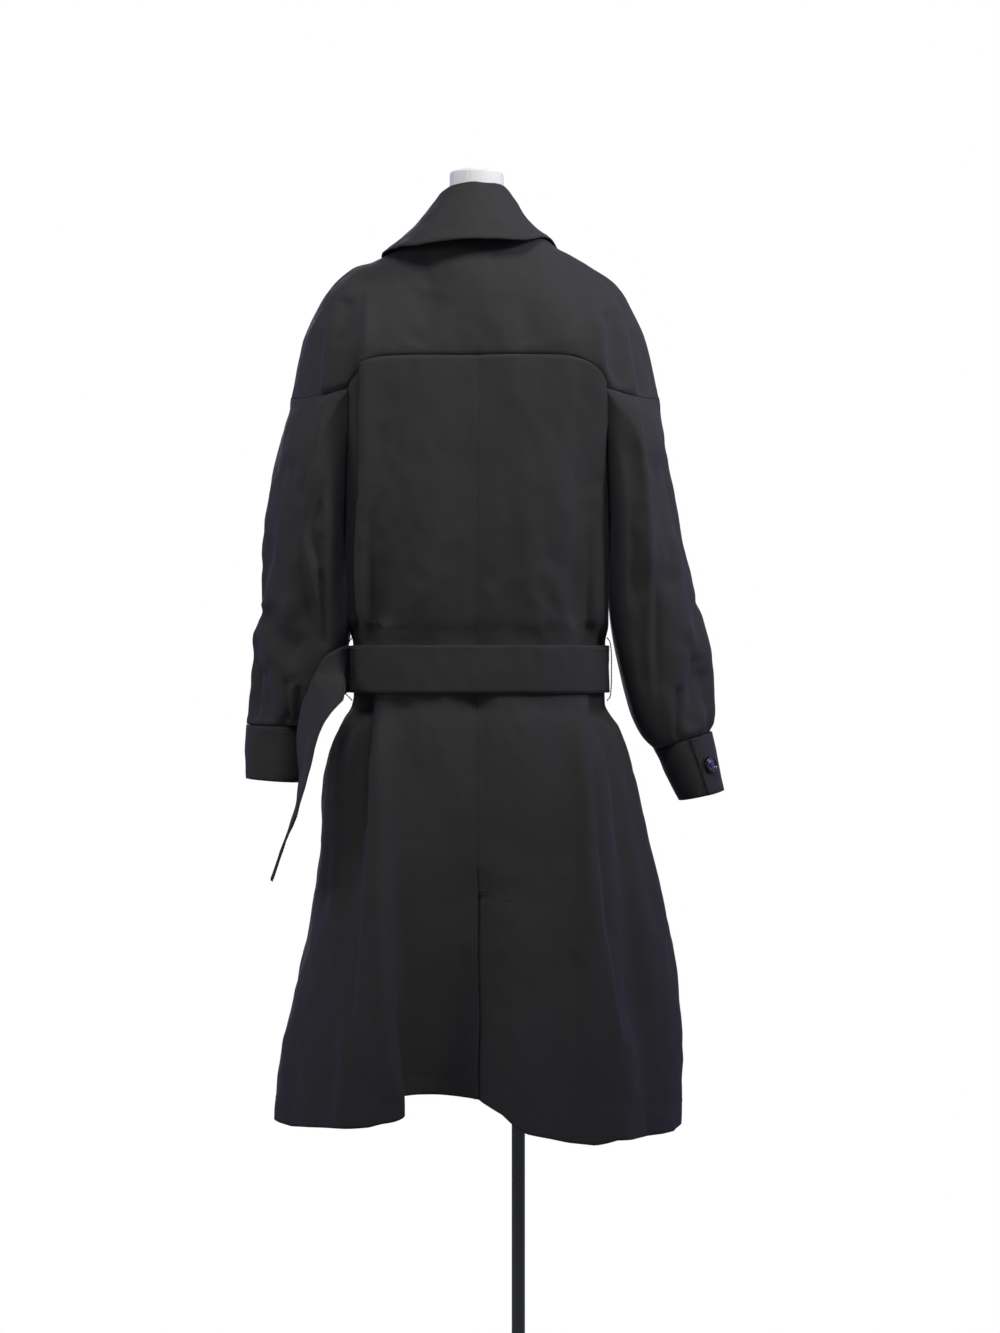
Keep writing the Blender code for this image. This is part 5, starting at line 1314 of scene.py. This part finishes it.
def collarGrid():
    sections = collar["sections"]
    at = np.linspace(-1, 1, collar["columns"] + 1)
    neck, top, edge = (
        np.stack([through(sections, "round", part + axis, at) for axis in "XYZ"], -1)
        for part in ("seam", "top", "edge")
    )
    out = edge - neck
    out[:, 2] = 0
    out /= np.linalg.norm(out, axis=1, keepdims=True)
    fold = collar["foldRadius"]
    inside = top - out * fold - np.array([0, 0, fold])
    outside = top + out * fold - np.array([0, 0, fold])
    belly = (outside + edge) / 2 + out * through(sections, "round", "belly", at)[:, None]
    spread = np.interp(np.linspace(0, 1, collar["rows"] + 1), *collar["spread"])
    lines = np.stack([neck, (neck + inside) / 2, inside, top, outside, belly, edge])
    grid = np.zeros((collar["rows"] + 1, collar["columns"] + 1, 3))
    for c in range(collar["columns"] + 1):
        rows = {"key": np.array(collar["keys"])} | {axis: lines[:, c, k] for k, axis in enumerate("xyz")}
        grid[:, c] = np.stack([through(rows, "key", axis, spread) for axis in "xyz"], -1)
    return grid


def makeCollar():
    grid = collarGrid()
    push = wrinkleDepth(grid.reshape(-1, 3), *collar["waves"]).reshape(grid.shape[:2])
    push *= ease(edgeDistance(grid, "low") / collar["still"])
    grid = grid + gridNormals(grid) * push[..., None]
    piece = clothPiece("coatCollar", grid, ("collar",), thickness=collar["thickness"])
    lines = [edgeLine(grid, gridNormals(grid), "high", stitch["fromEdge"], collar["thickness"])]
    declareSheet(piece, grid, [sewLines("collarStitches", lines)])


lapels = {
    "lift": {1: 0.0029, -1: 0.0034},
    "roll": 0.006,
    "columns": 30,
    "from": {1: 0.35, -1: 0.0},  # where each begins on the reach's run
    "rollFrom": {1: 0.5, -1: -0.15},  # share of its height, and over how much of it the roll grows
    "rollOver": {1: 0.4, -1: 0.6},
    "rise": 5,  # how fast it lifts off the front
    "coarse": (0, 9, 11, 15, 21, 26),
    "reach": table("up reach", (0.0, 0.03), (0.25, 0.20), (0.55, 0.36), (0.85, 0.47), (1.0, 0.50)),
    # rows of the front where each lapel begins and ends, counted in its coarse steps
    "rows": {1: (20, 24), -1: (17, 24)},
}


def sampleGrid(grid, row, column):
    r = min(int(row), grid.shape[0] - 2)
    c = min(int(column), grid.shape[1] - 2)
    a, b = row - r, column - c
    low = grid[r, c] * (1 - b) + grid[r, c + 1] * b
    return low * (1 - a) + (grid[r + 1, c] * (1 - b) + grid[r + 1, c + 1] * b) * a


def coarseRow(k):
    # the fine row that a coarse one falls on
    fine = np.cumsum([0, *body["rowSteps"], body["yokeRows"]])
    return np.interp(k, lapels["coarse"], fine)


def lapelGrid(side, grid, normals):
    low, high = (coarseRow(k) for k in lapels["rows"][side])
    rows, columns, start = int(high - low), lapels["columns"], lapels["from"][side]
    made = np.zeros((rows + 1, columns + 1, 3))
    atFold = cloth["thickness"] + cloth["layerGap"]
    for r in range(rows + 1):
        up = r / rows
        reach = float(through(lapels["reach"], "up", "reach", start + (1 - start) * up))
        free = float(ease((up - lapels["rollFrom"][side]) / lapels["rollOver"][side]))
        for c in range(columns + 1):
            across = reach * c / columns * (grid.shape[1] - 1)
            roll = lapels["roll"] * math.sin(math.pi * c / columns) * free
            lift = atFold + (lapels["lift"][side] - atFold) * min(1, c / columns * lapels["rise"]) + roll
            way = sampleGrid(normals, low + r, across)
            made[r, c] = sampleGrid(grid, low + r, across) + way / np.linalg.norm(way) * lift
    return made


def makeLapels(fronts):
    for side, name, node in bothSides("lapel", "lapel"):
        grid = lapelGrid(side, *fronts[side])
        normals = gridNormals(grid) * side
        piece = clothPiece(name, grid[:, :: -side], (node,))
        lines = [edgeLine(grid, normals, edge, stitch["fromEdge"]) for edge in ("last", "high")]
        sewn = sewLines(name + "Stitches", lines)
        declareSheet(piece, grid, [sewn])


belt = {
    "height": 0.907,
    "width": 0.056,
    "thickness": 0.0024,
    "buckleArch": 0.0072,
    "archWidth": 0.075,
    "clearOf": 0.1560,  # the hanging end keeps outside this reach
    "buckleAround": -2.0,
    # the belt lies on itself from here on
    "overFrom": -1.88,
    "overEase": 0.12,
    "frontEase": 0.035,
    # quarters round the body: runs before and after the buckle, and the spots between them
    "before": (2.0, -1.80, 300),
    "near": (-1.85, -1.90, -1.94, -1.97, -2.0, -2.03, -2.06, -2.10, -2.15, -2.2),
    "after": (-2.22, -2.92, 56),
    "hungPoints": 100,
    # points of the hanging end over which it turns flat, and comes clear of the side
    "turnsOver": 26,
    "clearsOver": 12,
    # it only turns flat where its run isn't level round the body
    "level": 0.25,
    "levelOver": 0.5,
    "aheadBy": 0.002,
    "columns": 14,
    "waves": (0.5, 1.2),
    "crown": 0.0005,
    "hang": table(
        "x y z turn",
        (0.1570, 0.026, 0.9065, 0),
        (0.1580, 0.050, 0.9050, 0),
        (0.1620, 0.070, 0.8990, 26),
        (0.1710, 0.083, 0.8880, 44),
        (0.1830, 0.089, 0.8710, 57),
        (0.1930, 0.092, 0.8500, 66),
        (0.2005, 0.096, 0.8200, 74),
        (0.2045, 0.099, 0.7800, 82),
        (0.2130, 0.101, 0.7400, 86),
        (0.2270, 0.102, 0.7000, 88),
        (0.2400, 0.102, 0.6640, 88),
    ),
}


def beltPlace(around):
    point = bodyPoint(around, belt["height"])
    before, after = (bodyPoint(around + k * belt["aheadBy"], belt["height"]) for k in (-1, 1))
    ahead = after - before
    out = np.array([ahead[1], -ahead[0], 0.0])
    out /= np.linalg.norm(out)
    if np.dot(out[:2], point[:2]) < 0:
        out = -out
    if abs(around) % 4 > 1 and point[1] < 0:
        past = ease((front["overlap"] + belt["frontEase"] - point[0]) / belt["frontEase"])
        point = point + out * overLeft(point[0]) * past
    return point, out


def beltLine():
    underCoat = cloth["thickness"] / 2 + cloth["layerGap"] + belt["thickness"] / 2
    layer = belt["thickness"] + cloth["layerGap"]
    near = belt["near"]
    near = np.interp(np.linspace(0, len(near) - 1, 4 * (len(near) - 1) + 1), range(len(near)), near)
    points = []
    for around in np.concatenate([np.linspace(*belt["before"]), near, np.linspace(*belt["after"])]):
        point, out = beltPlace(around)
        over = layer * ease((belt["overFrom"] - around) / belt["overEase"])
        arch = belt["buckleArch"] * np.exp(-(((around - belt["buckleAround"]) / belt["archWidth"]) ** 2))
        points.append(point + out * (underCoat + over + arch))
    return np.array(points)


def hungWidth(line, i, k, turn):
    # the way across the hanging end, which turns flat and then round its own run
    wide = np.array([0.0, 0.0, 1.0])
    ahead = line[min(i + 3, len(line) - 1)] - line[i - 3]
    ahead /= np.linalg.norm(ahead)
    flat = np.array([-ahead[2], 0.0, ahead[0]])
    flat = flat / max(np.linalg.norm(flat), 1e-9) * np.sign(flat[2] + 1e-9)
    steep = math.hypot(ahead[0], ahead[2]) - belt["level"]
    begin = ease(k / belt["turnsOver"]) * ease(steep / belt["levelOver"])
    wide = wide * (1 - begin) + flat * begin
    wide -= ahead * np.dot(wide, ahead)
    wide /= np.linalg.norm(wide)
    return wide * math.cos(turn) + np.cross(ahead, wide) * math.sin(turn)


def makeBelt():
    worn = beltLine()
    hang, count = belt["hang"], belt["hungPoints"]
    hung = smoothLine(np.concatenate([worn[-1:], np.stack([hang["x"], hang["y"], hang["z"]], -1)]), count)
    line = np.concatenate([worn, hung[1:]])
    turns = np.r_[0, np.radians(hang["turn"])]
    turns = np.interp(np.linspace(0, 1, count), np.linspace(0, 1, len(turns)), turns)
    shares = np.linspace(0, 1, belt["columns"] + 1)
    rows = []
    for i, point in enumerate(line):
        k = i - len(worn) + 1
        wide = hungWidth(line, i, k, turns[k]) if k > 0 else np.array([0.0, 0.0, 1.0])
        row = point + wide * belt["width"] * (shares[:, None] - 0.5)
        if k > 0:
            row[:, 0] += np.maximum(0, belt["clearOf"] - row[:, 0]) * ease(k / belt["clearsOver"])
        rows.append(row)
    grid = np.array(rows)
    normals = gridNormals(grid)
    middle, some = belt["columns"] // 2, len(worn) // 2
    away = grid[:some, middle] - np.array([0.0, 0.0, belt["height"]])
    if np.sum(normals[:some, middle] * away) < 0:
        normals = -normals
    # a little soft waviness, outwards only
    push = np.abs(wrinkleDepth(grid.reshape(-1, 3), *belt["waves"])).reshape(grid.shape[:2])
    push += belt["crown"] * np.sin(np.pi * shares)[None, :]
    grid = grid + normals * push[..., None]
    piece = clothPiece("waistBelt", grid, ("belt",), thickness=belt["thickness"])
    edges = ("first", "last")
    lines = [edgeLine(grid, normals, edge, stitch["beltEdge"], belt["thickness"]) for edge in edges]
    declareSheet(piece, grid, [sewLines("beltStitches", lines)])


buckle = {
    "width": 0.066,
    "height": 0.074,
    "rail": 0.0055,
    "thickness": 0.0030,
    "corner": 0.006,
    "windowCorner": 0.002,
    "edgeRound": 0.0007,
}


def roundedLoop(halfWidth, halfHeight, corner):
    loop = []
    for sx, sy, start in ((1, 1, 0), (-1, 1, 90), (-1, -1, 180), (1, -1, 270)):
        for a in np.radians(start + np.linspace(0, 90, 7)):
            x, y = sx * (halfWidth - corner), sy * (halfHeight - corner)
            loop.append((x + corner * math.cos(a), y + corner * math.sin(a)))
    return loop


def makeBuckle():
    low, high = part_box("belt_buckle")
    centre = (low + high) / 2
    curve = bpy.data.curves.new("buckleOutline", "CURVE")
    curve.dimensions = "2D"
    curve.fill_mode = "BOTH"
    curve.extrude = buckle["thickness"] / 2 - buckle["edgeRound"]
    curve.bevel_depth = buckle["edgeRound"]
    curve.bevel_resolution = 3
    curve.offset = -buckle["edgeRound"]
    halfWindow = (buckle["width"] / 2 - 1.5 * buckle["rail"]) / 2
    window = roundedLoop(halfWindow, buckle["height"] / 2 - buckle["rail"], buckle["windowCorner"])
    loops = [(0.0, roundedLoop(buckle["width"] / 2, buckle["height"] / 2, buckle["corner"]))]
    loops += [(side * (halfWindow + buckle["rail"] / 2), window) for side in (-1, 1)]
    for middle, loop in loops:
        spline = curve.splines.new("POLY")
        spline.points.add(len(loop) - 1)
        spline.use_cyclic_u = True
        for spot, (x, y) in zip(spline.points, loop):
            spot.co = (middle + x, y, 0, 1)
    outline = linkPiece("buckleOutline", curve)
    mesh = bpy.data.meshes.new_from_object(outline.evaluated_get(bpy.context.evaluated_depsgraph_get()))
    bpy.data.objects.remove(outline, do_unlink=True)
    for v in mesh.vertices:
        x, y, z = v.co
        v.co = (centre.x + x, centre.y - z, centre.z + y)
    finishPiece(linkPiece("beltBuckle", mesh), "black_gloss", ("belt_buckle",))


def spotOn(grid, normals, row, column):
    out = sampleGrid(normals, row, column)
    return sampleGrid(grid, row, column), out / np.linalg.norm(out)


def makeButton(name, node, radius, point, out):
    # a turned dish with a raised rim; gives the two lines of thread across its middle
    profile = smoothLine([(a * radius, 0, b) for a, b in button["profile"]], button["points"])
    profile[0, 0] = profile[-1, 0] = 0
    steps = button["steps"]
    points, faces = [tuple(profile[0])], []
    for x, _, z in profile[1:-1]:
        points += [(x * math.cos(a), x * math.sin(a), z) for a in np.arange(steps) * 2 * math.pi / steps]
    points.append(tuple(profile[-1]))
    last = len(points) - 1
    rings = [1 + r * steps for r in range(len(profile) - 2)]
    for s in range(steps):
        t = (s + 1) % steps
        faces.append((0, 1 + s, 1 + t))
        faces += [(ring + s, below + s, below + t, ring + t) for ring, below in zip(rings, rings[1:])]
        faces.append((rings[-1] + s, last, rings[-1] + t))
    turn = Vector(out).to_track_quat("Z", "Y")
    seat = Vector(point) + Vector(out) * (cloth["thickness"] / 2 + cloth["layerGap"] + button["seat"])
    seat.x += cloth["coatFromPole"]
    mesh = bpy.data.meshes.new(name)
    mesh.from_pydata([seat + turn @ Vector(p) for p in points], [], faces)
    mesh.shade_smooth()
    finishPiece(linkPiece(name, mesh), "black_gloss", (node,))
    bars = []
    reach, height = button["threadReach"] * radius, button["threadHeight"]
    for way in (1, -1):
        ends = [seat + turn @ Vector((k * reach, k * way * reach, height)) for k in (-1, -0.4, 0.4, 1)]
        bars.append([tuple(p) for p in ends])
    return bars


def makeButtons(fronts, cuffGrids):
    grid, normals = fronts[-1]
    bars = []
    for i, height in enumerate(button["frontHeights"]):
        for across, where in ((button["frontReach"], "edge"), (-button["frontReach"], "middle")):
            miss = np.abs(grid[..., 2] - height) + np.abs(grid[..., 0] - across)
            row, column = np.unravel_index(np.argmin(miss), miss.shape)
            point, out = spotOn(grid, normals, row, column)
            name = f"frontButton{where.capitalize()}{i + 1}"
            bars += makeButton(name, f"front_button_{where}_{i + 1}", button["frontRadius"], point, out)
    column = cuffs["columns"] * cuffs["buttonDegrees"] / (360 + cuffs["lapDegrees"])
    for side, name, node in bothSides("cuffButton", "cuff_button"):
        point, out = spotOn(*cuffGrids[side], cuffs["rows"] / 2, column)
        bars += makeButton(name, node, button["cuffRadius"], point, out)
    sewLines("buttonThread", bars, shift=False)


beltLoops = {
    "reach": {1: 0.0095, -1: 0.0062},
    "ends": ((0.010, 0.0016), (0.006, 0.0046)),  # past the belt's edge, out from the cloth
    "lowEnds": ((0.006, 0.0052), (0.010, 0.0016)),
    "corner": 0.001,
    "middle": 0.4,  # share of half the belt
    "bow": 0.0010,
    "clear": 0.0006,
    "points": 120,
    "sides": 6,
    "twist": 0.55,
    "strandOff": 0.0004,
    "strandRadius": 0.00045,
}


def loopLine(side):
    # down past the belt at a side seam, from the cloth above it to the cloth below it
    rise, reach = belt["width"] / 2, beltLoops["reach"][side]
    spots = [(rise + past, out) for past, out in beltLoops["ends"]] + [(rise + beltLoops["corner"], reach)]
    spots += [(way * beltLoops["middle"] * rise, reach + beltLoops["bow"]) for way in (1, -1)]
    spots.append((-rise - beltLoops["corner"], reach))
    spots += [(-rise - past, out) for past, out in beltLoops["lowEnds"]]
    route = []
    for height, out in spots:
        z = belt["height"] + height
        point = bodyPoint(side, min(max(z, body["flatBelowBelt"]), body["flatAboveBelt"]))
        route.append((point[0] + side * (out + beltLoops["clear"]), point[1], z))
    line = smoothLine(route, beltLoops["points"])
    line[:, 0] += cloth["coatFromPole"]
    return line


def makeLoops():
    # a bar of two twisted threads at each side seam
    sides = beltLoops["sides"]
    turn = (np.arange(sides) * 2 * math.pi / sides)[None, :, None]
    for side, name, node in bothSides("beltLoop", "belt_loop"):
        line = loopLine(side)
        way = np.gradient(line, axis=0)
        way /= np.linalg.norm(way, axis=1, keepdims=True)
        across = np.array([0.0, 1.0, 0.0])
        up = np.cross(way, across)
        points, faces = [], []
        for strand in range(2):
            first = len(points)
            swing = (np.arange(len(line)) * beltLoops["twist"] + strand * math.pi)[:, None]
            centre = line + beltLoops["strandOff"] * (np.cos(swing) * across + np.sin(swing) * up)
            ring = beltLoops["strandRadius"] * (np.cos(turn) * across + np.sin(turn) * up[:, None])
            points += (centre[:, None] + ring).reshape(-1, 3).tolist()
            for low in range(first, len(points) - sides, sides):
                corners = [(low + s, low + (s + 1) % sides) for s in range(sides)]
                faces += [(a, b, b + sides, a + sides) for a, b in corners]
            faces.append(tuple(range(first + sides - 1, first - 1, -1)))
            faces.append(tuple(range(len(points) - sides, len(points))))
        mesh = bpy.data.meshes.new(name)
        mesh.from_pydata(points, [], faces)
        mesh.shade_smooth()
        finishPiece(linkPiece(name, mesh), "black_thread", (node,))


makeYoke(makeBacks())
print("backs and yoke made")
fronts = makeFronts()
print("fronts made")
makeSleeves()
print("sleeves made")
cuffGrids = makeCuffs()
makeCollar()
makeLapels(fronts)
makeBelt()
print("cuffs, collar, lapels and belt made")
makeBuckle()
makeButtons(fronts, cuffGrids)
makeLoops()
stands = {
    "form_torso": "white_cover",
    "form_neck": "white_cover",
    "stand_pole": "grey_enamel",
    "stand_base": "grey_enamel",
}
for node, slot in stands.items():
    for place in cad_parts[node].material_slots:
        place.material = materials[slot]
print("hard pieces made")

studio = {
    "cameraPlace": (0.022, 3.2, 0.91),
    "lens": 72,
    "background": 1.0,
    "ambient": 0.16,
    "ambientTint": (0.46, 0.38, 1.0),
    "floorRadius": 9.0,
    "floorHeight": -0.0005,
    "floorTone": 0.86,
    "floorLight": 0.25,
    # the floor's shadows fade out between these distances from the pole
    "shadowFrom": 0.20,
    "shadowTo": 0.44,
    "shadowLight": 0.70,
    "lights": [
        # place, aimed at, size, watts, colour, spread
        ((-2.5, 1.3, 2.8), (0.05, 0.0, 1.45), 0.7, 3.2, (1.0, 0.98, 0.88), 42),
        ((0.05, 1.6, 3.4), (0.05, 0.0, 1.45), 1.2, 3.5, (1.0, 0.985, 0.88), 42),
        ((2.2, 0.9, 1.4), (0.15, 0.0, 1.0), 1.0, 2.6, (1.0, 0.98, 0.90), 90),
        ((2.0, -1.0, 1.3), (0.05, 0.0, 0.9), 1.6, 3.0, (0.34, 0.24, 1.0), 120),
        ((-2.2, -0.7, 1.3), (0.05, 0.0, 0.9), 1.6, 3.4, (0.46, 0.38, 1.0), 120),
        ((-2.4, 0.2, 1.9), (-0.15, 0.0, 1.1), 0.7, 1.2, (0.56, 0.46, 1.0), 60),
        ((0.4, -3.0, 2.2), (0.05, 0.0, 0.95), 2.0, 16, (1.0, 0.985, 0.95), 70),
    ],
}


def makeAir(scene):
    # white for the camera, a dim tint for the coat
    world = bpy.data.worlds.new("studioAir")
    world.use_nodes = True
    scene.world = world
    tree = world.node_tree
    tint = {"Strength": studio["ambient"], "Color": (*studio["ambientTint"], 1)}
    air = fill(tree, tree.nodes["Background"], tint)
    seen = addNode(tree, "ShaderNodeBackground", {"Strength": studio["background"], "Color": (1, 1, 1, 1)})
    camera = addNode(tree, "ShaderNodeLightPath").outputs["Is Camera Ray"]
    mix = addNode(tree, "ShaderNodeMixShader", {0: camera, 1: air.outputs[0], 2: seen.outputs[0]})
    fill(tree, tree.nodes["World Output"], {"Surface": mix.outputs[0]})


def makeFloor():
    # it looks white, takes a shadow near the foot, and lights the coat only a little
    size = {"radius": studio["floorRadius"], "location": (0, 0, studio["floorHeight"])}
    bpy.ops.mesh.primitive_circle_add(vertices=96, fill_type="NGON", **size)
    floor = bpy.context.object
    floor.name = "studioFloor"
    material, tree, shader = newMaterial("paleFloor", (studio["floorTone"],) * 3, 0.7)
    place = addNode(tree, "ShaderNodeTexCoord").outputs["Object"]
    away = addNode(tree, "ShaderNodeVectorMath", {0: place}, operation="LENGTH").outputs["Value"]
    fade = {"Value": away, "From Min": studio["shadowFrom"], "From Max": studio["shadowTo"],
            "To Min": studio["shadowLight"]}  # fmt: skip
    glow = addNode(tree, "ShaderNodeMapRange", fade, interpolation_type="SMOOTHSTEP").outputs[0]
    camera = addNode(tree, "ShaderNodeLightPath").outputs["Is Camera Ray"]
    power = rangeFrom(tree, camera, studio["floorLight"], studio["background"])
    plain = addNode(tree, "ShaderNodeEmission", {"Strength": power}).outputs[0]
    both = addNode(tree, "ShaderNodeMixShader", {0: glow, 1: shader.outputs[0], 2: plain})
    fill(tree, tree.nodes["Material Output"], {"Surface": both.outputs[0]})
    floor.data.materials.append(material)


def makeLights(scene):
    for i, (place, aim, size, watts, colour, spread) in enumerate(studio["lights"]):
        lamp = bpy.data.lights.new(f"softbox{i + 1}", "AREA")
        lamp.shape = "DISK"
        lamp.size = size
        lamp.energy = watts
        lamp.color = colour
        lamp.spread = math.radians(spread)
        holder = bpy.data.objects.new(lamp.name, lamp)
        holder.location = place
        holder.rotation_euler = (Vector(aim) - Vector(place)).to_track_quat("-Z", "Y").to_euler()
        scene.collection.objects.link(holder)


def makeCamera(scene):
    camera = bpy.data.objects.new("camera", bpy.data.cameras.new("camera"))
    camera.data.lens = studio["lens"]
    camera.data.clip_end = 60
    camera.location = studio["cameraPlace"]
    camera.rotation_euler = (math.pi / 2, 0, math.pi)
    scene.collection.objects.link(camera)
    scene.camera = camera


bpy.context.scene.view_settings.view_transform = "Standard"
makeAir(bpy.context.scene)
makeFloor()
makeLights(bpy.context.scene)
makeCamera(bpy.context.scene)
print("studio made")
